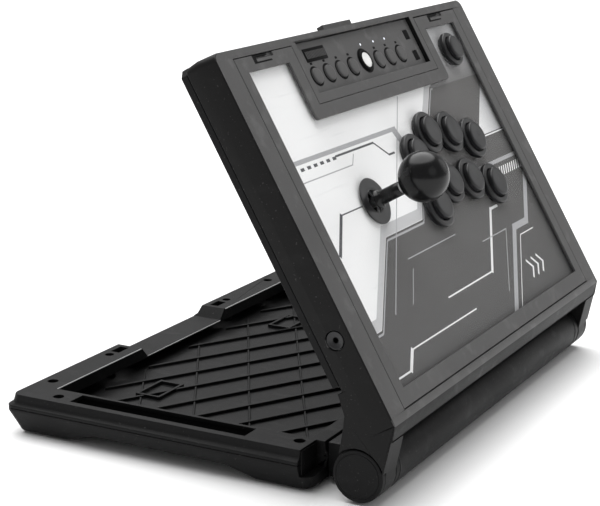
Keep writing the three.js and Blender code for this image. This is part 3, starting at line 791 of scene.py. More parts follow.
def rim_tree():
    """Push-button rims: a rounded flange, its threaded body and the nut behind the panel."""
    tree = Grower(
        "button_rims", Flange_Radius="Float", Inner_Radius="Float", Body_Radius="Float",
        Seat="Float", Height="Float", Depth="Float", Edge="Float", Finish="Material")
    flange, inner, body = (tree.given(n) for n in ("Flange Radius", "Inner Radius", "Body Radius"))
    seat, height, depth = (tree.given(n) for n in ("Seat", "Height", "Depth"))
    top = tree.hoop(flange, inner, height, seat + height * 0.5, tree.given("Edge"))
    sleeve = tree.hoop(body, inner, depth, seat - depth * 0.5, 0.4)
    nut = tree.hoop(body + 2.6, body - 0.3, 5.0, seat - 8.2, 0.8, 10)
    floor = tree.moved(tree.drum(body - 0.2, 2.0, 48), z=seat - depth + 0.2)
    return tree.end(tree.placed(tree.joined(top, sleeve, nut, floor)), "Finish")


def screw_tree():
    """Pan-head screws with a cross recess."""
    tree = Grower("screw_heads", Head_Radius="Float", Head_Height="Float", Finish="Material")
    radius, height = tree.given("Head Radius"), tree.given("Head Height")
    skirt = tree.drum(radius, height * 0.55, 28)
    dome = tree.moved(tree.drum(radius, height * 0.45, 28, radius * 0.68), z=height * 0.55)
    across = tree.moved(tree.box(radius * 1.15, radius * 0.26, height), z=height)
    down = tree.moved(tree.box(radius * 0.26, radius * 1.15, height), z=height)
    head = tree.add("GeometryNodeMeshBoolean", {"operation": "DIFFERENCE"}, {
        "Mesh 1": tree.add("GeometryNodeMeshBoolean", {"operation": "UNION"}, {1: [skirt, dome]}),
        "Mesh 2": [across, down],
    })
    return tree.end(tree.placed(head), "Finish")


def comb_tree():
    """A row of equal narrow ribs that starts at each point."""
    tree = Grower(
        "rib_combs", Count="Int", Pitch="Float", Rib_Width="Float", Rib_Length="Float",
        Rib_Height="Float", Finish="Material")
    row = tree.add("GeometryNodeMeshLine", None, {
        "Count": tree.given("Count"), "Offset": tree.vector(tree.given("Pitch")),
    })
    rib = tree.box(tree.given("Rib Width"), tree.given("Rib Length"), tree.given("Rib Height"))
    ribs = tree.placed(rib, tree.add("GeometryNodeRealizeInstances", None, {
        "Geometry": tree.placed(row),
    }))
    return tree.end(ribs, "Finish")


def chip_tree():
    """Small parts scattered over a board's grid with a fixed seed."""
    tree = Grower(
        "board_parts", Width="Float", Depth="Float", Columns="Int", Rows="Int", Seed="Int",
        Share="Float", Largest="Float", Tall="Float", Finish="Material")
    grid = tree.add("GeometryNodeMeshGrid", None, {
        "Size X": tree.given("Width"), "Size Y": tree.given("Depth"),
        "Vertices X": tree.given("Columns"), "Vertices Y": tree.given("Rows"),
    })
    seed = tree.given("Seed")
    kept = tree.add("FunctionNodeRandomValue", {"data_type": "BOOLEAN"}, {
        "Probability": tree.given("Share"), "Seed": seed,
    }, output=3)
    spots = tree.add("GeometryNodeMeshToPoints", None, {"Mesh": grid, "Selection": kept})
    largest, tall = tree.given("Largest"), tree.given("Tall")
    size = tree.add("FunctionNodeRandomValue", {"data_type": "FLOAT_VECTOR"}, {
        0: (0.35, 0.35, 0.4), 1: (1.0, 1.0, 1.0), "Seed": seed + 7,
    })
    chip = tree.moved(tree.box(largest, largest, tall), z=tall * 0.5)
    chips = tree.placed(chip, spots, Scale=size)
    return tree.end(tree.placed(chips), "Finish")


def terminal_tree():
    """The microswitch and its two blade terminals under each push button."""
    tree = Grower(
        "button_terminals", Body_Radius="Float", Top="Float", Plastic="Material",
        Metal="Material")
    radius, top = tree.given("Body Radius"), tree.given("Top")
    case = tree.finished(tree.moved(tree.box(radius * 1.1, 6.0, 4.4), z=top - 2.0), "Plastic")
    blades = [
        tree.finished(tree.moved(tree.box(0.6, 3.2, 6.0), x=radius * k, z=top - 6.4), "Metal")
        for k in (-0.36, 0.36)
    ]
    return tree.end(tree.placed(tree.joined(case, *blades)), None)


# ---- Operators --------------------------------------------------------------------------
class PanelOperator:
    """Shared by the panel's operators."""

    bl_options = {"REGISTER", "UNDO"}

    def execute(self, context):
        self.settings = context.scene.arcade_panel
        self.sizes = self.settings.sizes
        self.build()
        return {"FINISHED"}

    def paint(self, name):
        return finish_named(name, self.settings)

    def screw_heads(self, name, spots, radius, height, place):
        values = {"Head Radius": radius, "Head Height": height, "Finish": self.paint("bright_steel")}
        return grow(name, screw_tree(), spots, values, place)


class ARCADE_OT_base_shell(PanelOperator, bpy.types.Operator):
    """Tray pan, rim frame and hinge barrel with rounded edges"""

    bl_idname = "arcade.base_shell"
    bl_label = "Base Shell"

    def build(self):
        edge = self.sizes.shell_round
        for node, name, radius, flat, whole in (
            ("base_pan", "tray_pan", edge * 0.6, 30, True),
            ("base_rim_frame", "tray_rim", edge * 0.6, 40, False),
        ):
            piece = softened(node, name, radius, self.paint("base_moulding"), flat, whole)
            settle(piece, "base", "base_black", node)
        self.barrel()
        for side in ("left", "right"):
            paint_solid(f"hinge_pin_{side}", self.paint("bright_steel"))

    def barrel(self):
        """The barrel and its bands, the web and ears behind it, and the tray's front corner walls."""
        low, high = base_box("hinge_barrel")
        middle = HINGE * 1000
        radius = middle.y - low.y
        half = high.x
        bore, lip = 5.5, 1.2
        make = Maker()
        outline = [
            (bore, -half), *arc(radius - lip, -half + lip, lip, 270, 360, 4),
            *arc(radius - lip, half - lip, lip, 0, 90, 4), (bore, half),
        ]
        make.turn(outline, middle, 112, along="X", ring=True)
        band = [(radius + 0.25, -0.8), (radius + 0.25, 0.8), (radius - 1, 0.8), (radius - 1, -0.8)]
        for x in (-half + 7, half - 7):
            make.turn(band, (x, middle.y, middle.z), 96, along="X", ring=True)
        make.block((-172, middle.y + 8, 6.2), (172, high.y, 19.8), 0.6)
        for side in (-1, 1):
            inner, outer = sorted((side * 150, side * 181))
            make.block((inner, middle.y + 10, 6), (outer, high.y, 31), 0.8)
            make.block((inner + 3, middle.y + 11, 20), (outer - 3, middle.y + 17, 40.5), 0.8)
            for near, far, start in ((176, 203, 43.2), (176, 181, 37.5)):
                inner, outer = sorted((side * near, side * far))
                make.block((inner, middle.y + start, 9), (outer, middle.y + 46, 29.5), 0.4)
        piece = make.make("hinge_barrel_roll", [self.paint("base_moulding")], BASE_PLACE)
        settle(piece, "base", "base_black", "hinge_barrel")


class ARCADE_OT_base_fittings(PanelOperator, bpy.types.Operator):
    """Rubber feet, the screws in the rim's wells and a painted highlight strip on its rear rail"""

    bl_idname = "arcade.base_fittings"
    bl_label = "Base Fittings"

    def build(self):
        self.feet()
        self.screws()
        self.painted_rail_highlight()

    def painted_rail_highlight(self):
        """A pale strip along the top of the rear rail's inner face: a painted highlight standing for its
        lit edge.
        """
        high = base_box("base_rim_frame")[1]
        face, top = high.y - RAIL_DEEP, high.z
        make = Maker()
        for side in (-1, 1):
            inner, outer = sorted((side * 66, side * 179))
            make.block((inner, face - 0.3, top - 0.75), (outer, face + 0.3, top - 0.05), 0)
        make.block((-57, face - 0.3, top - 9.2), (57, face + 0.3, top - 8.55), 0)
        piece = make.make("rail_highlight_strip", [self.paint("pale_lip")], BASE_PLACE)
        settle(piece, "base", "base_black")

    def feet(self):
        make = Maker()
        nodes = [f"foot_{end}_{side}" for end in ("front", "rear") for side in ("left", "right")]
        for node in nodes:
            low, high = base_box(node)
            radius, tall = (high.x - low.x) / 2, high.z
            make.turn([
                (0, 0.9), (2.2, 0.9), (2.6, 0.3), *arc(radius - 0.8, 0.8, 0.8, 270, 360, 4),
                (radius, tall), (0, tall),
            ], ((low.x + high.x) / 2, (low.y + high.y) / 2, 0), 48)
        piece = make.make("rubber_feet", [self.paint("foot_rubber")], BASE_PLACE)
        settle(piece, "base", "rubber_foot", *nodes)

    def screws(self):
        rear = base_box("base_rim_frame")[1].y - 4
        wells = [(166, rear - 9.7), (91, rear - 9.7), (193, rear - 35)]
        seat = SCREW_SEAT
        spots = [(side * x, y, seat) for side in (-1, 1) for x, y in wells]
        piece = self.screw_heads("tray_screws", spots, self.sizes.screw_radius, 1.6, BASE_PLACE)
        settle(piece, "base", "zinc_steel")
        posts = Maker()
        outline = [(0, 12.8), (4.6, 12.8), (4.6, seat - 0.5), (4.2, seat), (0, seat)]
        for x, y, _ in spots:
            posts.turn(outline, (x, y, 0), 32)
        piece = posts.make("tray_screw_posts", [self.paint("base_moulding")], BASE_PLACE)
        settle(piece, "base", "base_black")


class ARCADE_OT_lid_shell(PanelOperator, bpy.types.Operator):
    """Lid housing, lower frame, bezel, hinge caps, inner ribs, panel screws, and painted shade in the
    seam tabs' gaps
    """

    bl_idname = "arcade.lid_shell"
    bl_label = "Lid Shell"

    def build(self):
        edge = self.sizes.shell_round
        for node, name, radius, finish, slot, flat, whole in (
            ("lid_housing", "lid_cover", edge, "lid_moulding", "lid_black", 50, False),
            ("lid_lower_frame", "lid_frame", edge, "base_moulding", "base_black", 30, True),
            ("top_bezel", "lid_bezel", self.sizes.bezel_round, "bezel_moulding", "lid_black", 30, False),
        ):
            piece = softened(node, name, radius, self.paint(finish), flat, whole)
            if node == "lid_housing":
                self.face_finish(piece)
            settle(piece, "lid", slot, node)
        for side in ("left", "right"):
            self.cap(side)
        self.inner_ribs()
        self.frame_screws()
        self.seam_gap_shade()

    def face_finish(self, piece):
        """The upper face's border takes the bezel's paler moulding: painted light on the faces that look
        up, while the sides keep the darker lid colour.
        """
        mesh = piece.data
        mesh.materials.append(self.paint("bezel_moulding"))
        inward = LID_PLACE.inverted().to_3x3()
        for polygon in mesh.polygons:
            if (inward @ polygon.normal).normalized().z > 0.97:
                polygon.material_index = 1

    def seam_gap_shade(self):
        """Dark blocks of painted shade, standing for the U-shaped gaps round two snap tabs in the bezel's
        rear seam.
        """
        high = lid_box("top_bezel")[1]
        make = Maker()
        for x in SEAM_TAB_STARTS:
            for start, end, near, far, up in (
                (0, 4.2, -6.4, -0.3, 0.03), (4, 20, -1.6, -0.3, -0.3), (4, 24, -6.4, -5.2, 0.03),
            ):
                make.block((x + start, high.y + near, high.z - 1.7),
                           (x + end, high.y + far, high.z + up))
        piece = make.make("seam_gap_shade", [self.paint("chip_black")], LID_PLACE)
        settle(piece, "lid", "lid_black")

    def cap(self, side):
        """A flat disc with a rounded edge and a shallow ring groove."""
        low, high = lid_box(f"hinge_cap_{side}")
        radius = (high.z - low.z) / 2
        way = -1 if side == "left" else 1
        outer = low.x if side == "left" else high.x
        thick = high.x - low.x
        profile = [
            (0, 0), (radius - 3.2, 0), (radius - 2.9, 0.35), (radius - 2.3, 0.35), (radius - 2.0, 0),
            *[(r, 0.9 - z) for r, z in arc(radius - 0.9, 0, 0.9, 90, 0, 5)], (radius, thick), (0, thick),
        ]
        make = Maker()
        make.turn([(r, -way * z) for r, z in profile], (outer, 0, 0), 112, along="X")
        piece = make.make(f"hinge_disc_{side}", [self.paint("base_moulding")], LID_PLACE)
        settle(piece, "lid", "base_black", f"hinge_cap_{side}")

    def inner_ribs(self):
        """Stiffening ribs and screw posts round the inside of the lid."""
        shelf = lid_box("steel_panel")[0].z - 3.2
        wall = lid_box("lid_housing")[1].x - 6.2
        make = Maker()
        for side in (-1, 1):
            for y in range(60, 280, 18):
                inner, outer = sorted((side * (wall - 24), side * wall))
                make.block((inner, y - 0.9, 20.5), (outer, y + 0.9, shelf), 0.3)
        for x in range(-160, 161, 20):
            make.block((x - 0.9, 31, 20.5), (x + 0.9, 36, shelf), 0.3)
        for x, y in self.posts():
            make.turn([(1.2, 16), (3.6, 16), (3.6, shelf), (1.2, shelf)], (x, y, 0), 32, ring=True)
        piece = make.make("lid_inner_ribs", [self.paint("lid_moulding")], LID_PLACE)
        settle(piece, "lid", "lid_black")

    @staticmethod
    def posts():
        return [(side * 190, y) for side in (-1, 1) for y in (70, 140, 210, 265)]

    def frame_screws(self):
        """Screws that hold the steel panel, seen from under the lid."""
        under = lid_box("steel_panel")[0].z
        spots = [(x, -y, -under) for x in (-166, -55, 55, 166) for y in (42, 226)]
        piece = self.screw_heads("panel_screws", spots, self.sizes.screw_radius, 1.7, UNDER_PLACE)
        settle(piece, "lid", "zinc_steel")


class ARCADE_OT_face_sheets(PanelOperator, bpy.types.Operator):
    """Clear cover, printed sheet and steel panel"""

    bl_idname = "arcade.face_sheets"
    bl_label = "Face Sheets"

    def build(self):
        for node, name, edge, finish, slot in (
            ("clear_cover", "cover_sheet", 0.15, "clear_cover", "clear_acrylic"),
            ("artwork_sheet", "print_sheet", 0.04, "printed_sheet", "printed_sheet"),
            ("steel_panel", "back_panel", 0.15, "zinc_sheet", "zinc_steel"),
        ):
            settle(softened(node, name, edge, self.paint(finish)), "lid", slot, node)


class ARCADE_OT_push_buttons(PanelOperator, bpy.types.Operator):
    """Rims, plungers and terminals of the nine push buttons"""

    bl_idname = "arcade.push_buttons"
    bl_label = "Push Buttons"

    def build(self):
        tree, terminals = rim_tree(), terminal_tree()
        for label, names in (("large", LARGE_BUTTONS), ("corner", ["corner"])):
            nodes = [f"button_rim_{n}" for n in names]
            boxes = [lid_box(n) for n in nodes]
            spots = [((a.x + b.x) / 2, (a.y + b.y) / 2, 0) for a, b in boxes]
            low, high = boxes[0]
            plunger_low, plunger_high = lid_box(f"button_plunger_{names[0]}")
            flange = (high.x - low.x) / 2
            inner = (plunger_high.x - plunger_low.x) / 2 + 0.35
            seat = high.z - RIM_TALL
            body = flange - 2.5
            values = {
                "Flange Radius": flange, "Inner Radius": inner, "Body Radius": body, "Seat": seat,
                "Height": RIM_TALL, "Depth": seat - low.z, "Edge": self.sizes.rim_round,
                "Finish": self.paint("button_plastic"),
            }
            piece = grow(f"button_rims_{label}", tree, spots, values, LID_PLACE, 40)
            settle(piece, "lid", "satin_button", *nodes)
            values = {"Body Radius": body, "Top": low.z - 0.2,
                      "Plastic": self.paint("lever_nylon"), "Metal": self.paint("brass_tab")}
            piece = grow(f"button_switches_{label}", terminals, spots, values, LID_PLACE)
            settle(piece, "lid", "satin_button")
        for name in ALL_BUTTONS:
            self.plunger(name)

    def plunger(self, name):
        """A gently domed cap whose edge rolls down into the rim."""
        low, high = lid_box(f"button_plunger_{name}")
        radius = (high.x - low.x) / 2
        dome = self.sizes.plunger_dome
        top = high.z
        crown = [(radius * s, top - 0.35 * s * s) for s in (0, 0.2, 0.4, 0.6, 0.76)]
        start = radius - dome
        shoulder = [
            (start + dome * math.sin(a), top - 0.3 - dome * (1 - math.cos(a)))
            for a in (math.radians(x) for x in (20, 40, 60, 78, 90))
        ]
        make = Maker()
        make.turn([*crown, *shoulder, (radius, low.z), (0, low.z)],
                  ((low.x + high.x) / 2, (low.y + high.y) / 2, 0), 72)
        piece = make.make(f"plunger_{name}", [self.paint("button_plastic")], LID_PLACE, 50)
        settle(piece, f"push_{name}", "satin_button", f"button_plunger_{name}")


class ARCADE_OT_lever(PanelOperator, bpy.types.Operator):
    """Ball top, shaft, dust washer, pivot and the lever's housing with its microswitches"""

    bl_idname = "arcade.lever"
    bl_label = "Lever"

    def build(self):
        low, high = lid_box("ball_top")
        self.x, self.y = (low.x + high.x) / 2, (low.y + high.y) / 2
        self.ball(low, high)
        self.shaft()
        self.washer()
        self.housing()
        self.switches()
        for node in ("lever_gate", "lever_pivot_ring"):
            paint_solid(node, self.paint("white_plastic"))

    def ball(self, low, high):
        radius = (high.x - low.x) / 2
        centre = (low.z + high.z) / 2
        shaft = 5.0
        start = math.degrees(math.asin(shaft / radius))
        steps = 40
        outside = [
            (radius * math.sin(a), centre - radius * math.cos(a))
            for a in (math.radians(start + (180 - start) * i / steps) for i in range(steps + 1))
        ]
        outside[-1] = (0, centre + radius)
        base = outside[0][1]
        make = Maker()
        make.turn([(0, base + 3.2), (shaft - 0.3, base + 3.2), (shaft - 0.3, base + 0.3), *outside],
                  (self.x, self.y, 0), 96)
        piece = make.make("ball_knob", [self.paint("ball_plastic")], LID_PLACE, 60)
        settle(piece, "lever", "gloss_black", "ball_top")

    def shaft(self):
        """Steel shaft with its plastic cover tube, collar and actuator."""
        low, high = lid_box("lever_shaft")
        collar = lid_box("dust_washer")[1].z + 2.3
        axis = (self.x, self.y, 0)
        cover = [
            (4.25, collar), *arc(6.2, collar + 0.8, 0.8, 270, 360, 4),
            *arc(6.2, collar + 0.8, 0.8, 10, 60, 3), (5.35, collar + 3.6), (5.2, collar + 12),
            (5.2, collar + 20.2), (4.7, collar + 20.8), (4.25, collar + 20.8),
        ]
        rod = [
            (0, low.z), (3.0, low.z), (3.6, low.z + 0.6), (3.6, low.z + 1.4), (4.15, low.z + 2.2),
            (4.15, high.z - 0.4), (3.8, high.z), (0, high.z),
        ]
        actuator = [
            (4.2, low.z + 1.8), (5.4, low.z + 1.8), (5.8, low.z + 2.4), (5.8, low.z + 12.6),
            (5.3, low.z + 13.2), (4.2, low.z + 13.8),
        ]
        make = Maker()
        make.turn(cover, axis, 64, ring=True)
        make.turn(rod, axis, 48, slot=1)
        make.turn(actuator, axis, 48, ring=True)
        finishes = [self.paint("ball_plastic"), self.paint("bright_steel")]
        piece = make.make("lever_stem", finishes, LID_PLACE, 40)
        settle(piece, "lever", "gloss_black", "lever_shaft")

    def washer(self):
        low, high = lid_box("dust_washer")
        radius = (high.x - low.x) / 2
        make = Maker()
        make.turn([
            (8.8, low.z + 0.05), (radius - 0.2, low.z + 0.05),
            *arc(radius - 0.35, high.z - 0.35, 0.35, 0, 90, 3), (radius - 2.2, high.z - 0.02),
            (11.2, high.z - 0.12), (9.2, high.z - 0.05), (8.8, high.z - 0.3),
        ], (self.x, self.y, 0), 96, ring=True)
        piece = make.make("shaft_washer", [self.paint("button_plastic")], LID_PLACE, 45)
        settle(piece, "lid", "satin_button", "dust_washer")

    def housing(self):
        """Mounting plate and the lever's moulded body with corner posts and screws."""
        for node, name, edge, finish, slot in (
            ("lever_bracket", "lever_plate", 0.3, "zinc_sheet", "zinc_steel"),
            ("lever_body", "lever_case", 0.8, "lever_nylon", "gloss_black"),
        ):
            settle(softened(node, name, edge, self.paint(finish)), "lid", slot, node)
        low, high = lid_box("lever_body")
        corners = [(sx, sy) for sx in (-1, 1) for sy in (-1, 1)]
        post = [
            (0, low.z - 0.2), (3.4, low.z - 0.2), (4.2, low.z + 0.8), (4.2, high.z - 0.6),
            (0, high.z - 0.6),
        ]
        make = Maker()
        for sx, sy in corners:
            make.turn(post, (self.x + sx * CASE_POST, self.y + sy * CASE_POST, 0), 32)
        for side in (-1, 1):
            for dy in (-12, -4, 4, 12):
                x0, x1 = sorted((side * 26.6, side * 28.4))
                make.block((self.x + x0, self.y + dy - 0.8, low.z + 1),
                           (self.x + x1, self.y + dy + 0.8, high.z - 1), 0.3)
        piece = make.make("lever_case_posts", [self.paint("lever_nylon")], LID_PLACE)
        settle(piece, "lid", "gloss_black")
        under = lid_box("lever_bracket")[0].z
        spots = [(self.x + sx * 42, -(self.y + sy * 18), -under) for sx, sy in corners]
        piece = self.screw_heads("lever_plate_screws", spots, 3.1, 2.0, UNDER_PLACE)
        settle(piece, "lid", "zinc_steel")

    def switches(self):
        """The switch board: a thin board, four microswitches with plungers and tabs, a socket."""
        low, high = lid_box("lever_switch_board")
        board = high.z - 1.6
        make = Maker()
        inner = 16.5
        reach = (high.x - low.x) / 2
        solder = [(0, high.z), (1.0, high.z), (0.6, high.z + 0.2), (0, high.z + 0.28)]
        for sign in (-1, 1):
            x0, x1 = sorted((sign * inner, sign * reach))
            make.block((self.x + x0, self.y - reach, board),
                       (self.x + x1, self.y + reach, high.z), 0.15)
            make.block((self.x - inner + 0.05, self.y + x0, board),
                       (self.x + inner - 0.05, self.y + x1, high.z), 0.15)
        for dx, dy in ((-1, 0), (1, 0), (0, -1), (0, 1)):
            hx, hy = (3.1, 10) if dx else (10, 3.1)
            cx, cy = self.x + dx * SWITCH_OUT, self.y + dy * SWITCH_OUT
            make.block((cx - hx, cy - hy, low.z + 0.2), (cx + hx, cy + hy, board - 0.05), 0.4, slot=1)
            tip_x, tip_y = cx - dx * (hx + 0.8), cy - dy * (hy + 0.8)
            wide_x, wide_y = (1.2 if dy else 0.9), (1.2 if dx else 0.9)
            make.block((tip_x - wide_x, tip_y - wide_y, low.z + 2),
                       (tip_x + wide_x, tip_y + wide_y, low.z + 5), 0.2, slot=2)
            for k in (-6.5, 0, 6.5):
                px, py = (cx, cy + k) if dx else (cx + k, cy)
                make.turn(solder, (px, py, 0), 16, slot=3)
        make.block((self.x + 17, self.y - 28, low.z + 2), (self.x + 29, self.y - 22, board), 0.3, slot=2)
        finishes = [self.paint(n) for n in ("board_green", "chip_black", "white_plastic", "brass_tab")]
        piece = make.make("lever_switches", finishes, LID_PLACE)
        settle(piece, "lid", "circuit_board", "lever_switch_board")


class ARCADE_OT_control_strip(PanelOperator, bpy.types.Operator):
    """Control strip, its round buttons, keys, lamps and blank ribbed plate"""

    bl_idname = "arcade.control_strip"
    bl_label = "Control Strip"

    def build(self):
        piece = softened("control_strip", "strip_plate", 0.25, self.paint("strip_moulding"), 30, False)
        settle(piece, "lid", "lid_black", "control_strip")
        for name in STRIP_BUTTONS:
            self.round_button(name, "strip_moulding", 0.9)
        self.round_button("home_button", "white_plastic", 1.2)
        for name in ("lock_key", "audio_key"):
            self.key(name)
        # Rings of painted shade round the round buttons
        self.wells()
        self.trim()
        self.comb()

    def round_button(self, name, finish, dome):
        low, high = lid_box(name)
        radius = (high.x - low.x) / 2
        x, y = (low.x + high.x) / 2, (low.y + high.y) / 2
        top = high.z
        crown = [(radius * s, top - 0.25 * s * s) for s in (0, 0.25, 0.5, 0.75)]
        shoulder = [
            (radius - dome + dome * math.sin(a), top - 0.25 - dome * (1 - math.cos(a)))
            for a in (math.radians(t) for t in (25, 45, 65, 90))
        ]
        make = Maker()
        if name == "home_button":
            lens = radius * 0.72
            make.turn([(0, top), (lens * 0.6, top - 0.08), (lens - 0.3, top - 0.2), (lens, top - 0.5),
                       (lens, low.z), (0, low.z)], (x, y, 0), 48)
            collar = [
                (lens + 0.05, top - 0.6), (lens + 0.3, top - 0.15), (radius - 0.5, top - 0.25),
                (radius, top - 0.8), (radius, low.z), (lens + 0.05, low.z),
            ]
            make.turn(collar, (x, y, 0), 48, slot=1, ring=True)
        else:
            make.turn([*crown, *shoulder, (radius, low.z), (0, low.z)], (x, y, 0), 48)
        piece = make.make(f"{name}_cap", [self.paint(finish), self.paint("chip_black")], LID_PLACE, 50)
        slot = "white_plastic" if name == "home_button" else "lid_black"
        settle(piece, f"{name}_body", slot, name)

    def wells(self):
        """Dark rings of painted shade round the strip's round buttons, standing for their clearance gaps.
        """
        top = lid_box("control_strip")[1].z
        make = Maker()
        for name in [*STRIP_BUTTONS, "home_button"]:
            a, b = lid_box(name)
            x, y, radius = (a.x + b.x) / 2, (a.y + b.y) / 2, (b.x - a.x) / 2
            make.turn([
                (radius + 0.1, top - 0.5), (radius + GAP_SHADE_WIDTH, top - 0.5),
                (radius + GAP_SHADE_WIDTH, top + 0.08), (radius + 0.1, top + 0.08),
            ], (x, y, 0), 56, ring=True)
        piece = make.make("strip_gap_shade_rings", [self.paint("chip_black")], LID_PLACE, 40)
        settle(piece, "lid", "satin_button")

    def key(self, name):
        """A square key with softened edges."""
        low, high = lid_box(name)
        make = Maker()
        make.block(low, high, 0.5)
        piece = make.make(f"{name}_cap", [self.paint("chip_black")], LID_PLACE)
        settle(piece, f"{name}_body", "satin_button", name)

    def trim(self):
        """The blank plate, three lamps and a legend mark over each button."""
        high = lid_box("control_strip")[1]
        top = high.z
        make = Maker()
        make.block((-86, high.y - 15.5, top - 0.3), (-54, high.y - 5, top + 0.4), 0.25)
        for name in STRIP_BUTTONS:
            a, b = lid_box(name)
            x = (a.x + b.x) / 2
            make.block((x - 1.7, b.y + 2.8, top - 0.1), (x + 1.7, b.y + 4.6, top + 0.05), 0)
        piece = make.make("strip_trim", [self.paint("chip_black")], LID_PLACE, 40)
        settle(piece, "lid", "satin_button")
        lamps = Maker()
        lens = [(0, top + 0.35), (0.5, top + 0.3), (0.95, top + 0.1), (0.95, top - 0.3), (0, top - 0.3)]
        for x in LAMP_PLACES:
            lamps.turn(lens, (x, high.y - 11.6, 0), 24)
        piece = lamps.make("strip_lamps", [self.paint("lamp_white")], LID_PLACE, 50)
        settle(piece, "lid", "white_plastic")

    def comb(self):
        """Fine upright ribs on the blank plate."""
        high = lid_box("control_strip")[1]
        values = {"Count": 14, "Pitch": 2.1, "Rib Width": 0.9, "Rib Length": 5.6, "Rib Height": 0.5,
                  "Finish": self.paint("bezel_moulding")}
        start = (-83.6, high.y - 10.2, high.z + 0.5)
        piece = grow("strip_plate_ribs", comb_tree(), [start], values, LID_PLACE)
        settle(piece, "lid", "lid_black")


class ARCADE_OT_boards(PanelOperator, bpy.types.Operator):
    """Control board and main board with their parts"""

    bl_idname = "arcade.boards"
    bl_label = "Circuit Boards"

    def build(self):
        tree = chip_tree()
        for node, columns, rows, offset in (("control_board", 26, 5, 0), ("main_board", 13, 7, 5)):
            piece = softened(node, f"{node}_sheet", 0.15, self.paint("board_green"))
            settle(piece, "lid", "circuit_board", node)
            low, high = lid_box(node)
            middle = (low + high) / 2
            spot = [(middle.x, -middle.y, -low.z)]
            values = {
                "Width": high.x - low.x - 12, "Depth": high.y - low.y - 8,
                "Columns": columns, "Rows": rows, "Seed": self.sizes.chip_seed + offset,
                "Share": 0.42, "Largest": 5.6, "Tall": 1.9, "Finish": self.paint("chip_black"),
            }
            settle(grow(f"{node}_chips", tree, spot, values, UNDER_PLACE), "lid", "circuit_board")
            values.update({
                "Seed": self.sizes.chip_seed + offset + 1, "Share": 0.3, "Largest": 2.2, "Tall": 1.0,
                "Columns": columns * 2 - 1, "Rows": rows * 2, "Finish": self.paint("brass_tab"),
            })
            settle(grow(f"{node}_pads", tree, spot, values, UNDER_PLACE), "lid", "circuit_board")
            self.posts(node, low, high)

    def posts(self, node, low, high):
        """Plastic posts and screws that carry a board from the panel above."""
        top = lid_box("lever_bracket")[1].z if node == "main_board" else lid_box("control_strip")[0].z
        inset = 3.5
        corners = [
            (x, y) for x in (low.x + inset, high.x - inset) for y in (low.y + inset, high.y - inset)]
        post = [(0, high.z - 0.1), (2.6, high.z - 0.1), (2.6, top - 0.1), (0, top - 0.1)]
        make = Maker()
        for x, y in corners:
            make.turn(post, (x, y, 0), 24)
        piece = make.make(f"{node}_posts", [self.paint("lever_nylon")], LID_PLACE)
        settle(piece, "lid", "lid_black")
        spots = [(x, -y, -low.z) for x, y in corners]
        settle(self.screw_heads(f"{node}_screws", spots, 2.3, 1.3, UNDER_PLACE), "lid", "zinc_steel")


class ARCADE_OT_fittings(PanelOperator, bpy.types.Operator):
    """Latch bar, headset socket and supply socket"""

    bl_idname = "arcade.fittings"
    bl_label = "Latch and Sockets"

    def build(self):
        piece = softened("latch_bar", "latch_slider", 0.5, self.paint("strip_moulding"))
        settle(piece, "latch", "satin_button", "latch_bar")
        self.jack()
        self.inlet()

    def jack(self):
        """A grooved collar round a dark-lined bore."""
        low, high = lid_box("headset_jack")
        radius, length = (high.z - low.z) / 2, high.x - low.x
        middle = ((low.y + high.y) / 2, (low.z + high.z) / 2)
        make = Maker()
        outer = [(2.0, length), (radius, length), (radius, 2.2), (radius - 0.4, 1.6), (radius, 1.0)]
        outer += [(radius - 0.5, 0.0), (radius - 1.4, 0.0), (radius - 2.0, 0.5), (3.1, 0.5), (2.0, 1.2)]
        make.turn(outer, (low.x, *middle), 56, along="X", ring=True)
        lining = [(1.75, 1.0), (2.05, 1.0), (2.05, length - 2), (1.75, length - 2)]
        make.turn(lining, (low.x, *middle), 40, slot=1, along="X", ring=True)
        finishes = [self.paint("key_plastic"), self.paint("chip_black")]
        piece = make.make("headset_socket", finishes, LID_PLACE, 40)
        settle(piece, "lid", "satin_button", "headset_jack")

    def inlet(self):
        piece = softened("usb_inlet", "supply_socket", 0.25, self.paint("bright_steel"))
        settle(piece, "lid", "zinc_steel", "usb_inlet")
        low, high = lid_box("usb_inlet")
        x, z = (low.x + high.x) / 2, (low.z + high.z) / 2
        make = Maker()
        make.block((x - 3.4, high.y - 14, z - 0.5), (x + 3.4, high.y - 3, z + 0.5), 0.2)
        piece = make.make("supply_socket_tongue", [self.paint("chip_black")], LID_PLACE)
        settle(piece, "lid", "satin_button")


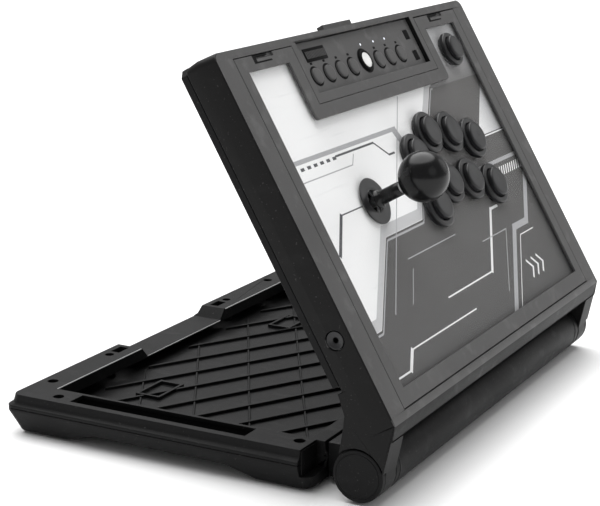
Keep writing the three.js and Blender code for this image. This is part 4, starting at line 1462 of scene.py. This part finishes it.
class ARCADE_OT_stage(PanelOperator, bpy.types.Operator):
    """Pale floor, softboxes, surround and camera"""

    bl_idname = "arcade.stage"
    bl_label = "Stage"

    def build(self):
        stage = self.settings.stage
        self.floor()
        self.surround(stage.sky_strength)
        self.overhead(stage.key_power)
        self.softbox("side_softbox", (2.3, -1.5, 1.3), 1.8, stage.fill_power)
        self.softbox("front_softbox", (-0.9, -2.2, 1.5), 1.6, stage.fill_power * 0.5)
        camera = bpy.data.cameras.new("camera")
        camera.lens = stage.camera_lens
        camera.sensor_width = 36
        holder = bpy.data.objects.new("camera", camera)
        holder.location = stage.camera_place
        holder.rotation_mode = "QUATERNION"
        holder.rotation_quaternion = Vector(stage.camera_aim).to_track_quat("-Z", "Y")
        bpy.context.scene.collection.objects.link(holder)
        bpy.context.scene.camera = holder
        bpy.context.scene.view_settings.view_transform = "Standard"

    def floor(self):
        mesh = bpy.data.meshes.new("floor")
        reach = 14.0
        corners = [(-reach, -reach, 0), (reach, -reach, 0), (reach, reach, 0), (-reach, reach, 0)]
        mesh.from_pydata(corners, [], [(0, 1, 2, 3)])
        floor = bpy.data.objects.new("floor", mesh)
        bpy.context.scene.collection.objects.link(floor)
        paint = Finish("pale_floor")
        cloud = paint.noise(0.6, 3)
        mesh.materials.append(paint.end({
            "Base Color": paint.blend(cloud, (0.9, 0.9, 0.9), (0.93, 0.93, 0.93)),
            "Roughness": 0.7 + cloud * 0.1,
        }))

    def surround(self, strength):
        world = bpy.data.worlds.new("surround")
        bpy.context.scene.world = world
        world.use_nodes = True
        background = world.node_tree.nodes["Background"]
        background.inputs["Color"].default_value = (1.0, 1.0, 1.0, 1.0)
        background.inputs["Strength"].default_value = strength

    def overhead(self, strength):
        """An even light from above, as from a lit studio ceiling."""
        light = bpy.data.lights.new("ceiling", "SUN")
        light.energy = strength
        light.angle = math.radians(75)
        holder = bpy.data.objects.new("ceiling", light)
        holder.rotation_mode = "QUATERNION"
        holder.rotation_quaternion = Vector((-0.25, -0.3, -1.0)).to_track_quat("-Z", "Y")
        bpy.context.scene.collection.objects.link(holder)

    def softbox(self, name, place, size, power):
        light = bpy.data.lights.new(name, "AREA")
        light.shape = "DISK"
        light.size = size
        light.energy = power
        holder = bpy.data.objects.new(name, light)
        holder.location = place
        holder.rotation_mode = "QUATERNION"
        low, high = CAD_BOX
        aim = (Vector(low) + Vector(high)) / 2 - Vector(place)
        holder.rotation_quaternion = aim.to_track_quat("-Z", "Y")
        bpy.context.scene.collection.objects.link(holder)


class ARCADE_PT_panel(bpy.types.Panel):
    """Sidebar list of the panel's operators and settings"""

    bl_idname = "ARCADE_PT_panel"
    bl_label = "Arcade Joystick Panel"
    bl_space_type = "VIEW_3D"
    bl_region_type = "UI"
    bl_category = "Arcade Panel"

    def draw(self, context):
        settings = context.scene.arcade_panel
        for group in (settings.finishes, settings.sizes, settings.stage):
            box = self.layout.box()
            for name in type(group).__annotations__:
                box.prop(group, name)
        for operator in OPERATORS:
            self.layout.operator(operator.bl_idname)


OPERATORS = (
    ARCADE_OT_base_shell, ARCADE_OT_base_fittings, ARCADE_OT_lid_shell, ARCADE_OT_face_sheets,
    ARCADE_OT_push_buttons, ARCADE_OT_lever, ARCADE_OT_control_strip, ARCADE_OT_boards,
    ARCADE_OT_fittings, ARCADE_OT_stage,
)
CLASSES = (PanelFinishes, PanelSizes, PanelStage, PanelSettings, *OPERATORS, ARCADE_PT_panel)


def register():
    for item in CLASSES:
        bpy.utils.register_class(item)
    bpy.types.Scene.arcade_panel = PointerProperty(type=PanelSettings)


def unregister():
    del bpy.types.Scene.arcade_panel
    for item in reversed(CLASSES):
        bpy.utils.unregister_class(item)


def main():
    register()
    for operator in OPERATORS:
        group, name = operator.bl_idname.split(".")
        getattr(getattr(bpy.ops, group), name)()


if __name__ == "__main__":
    main()
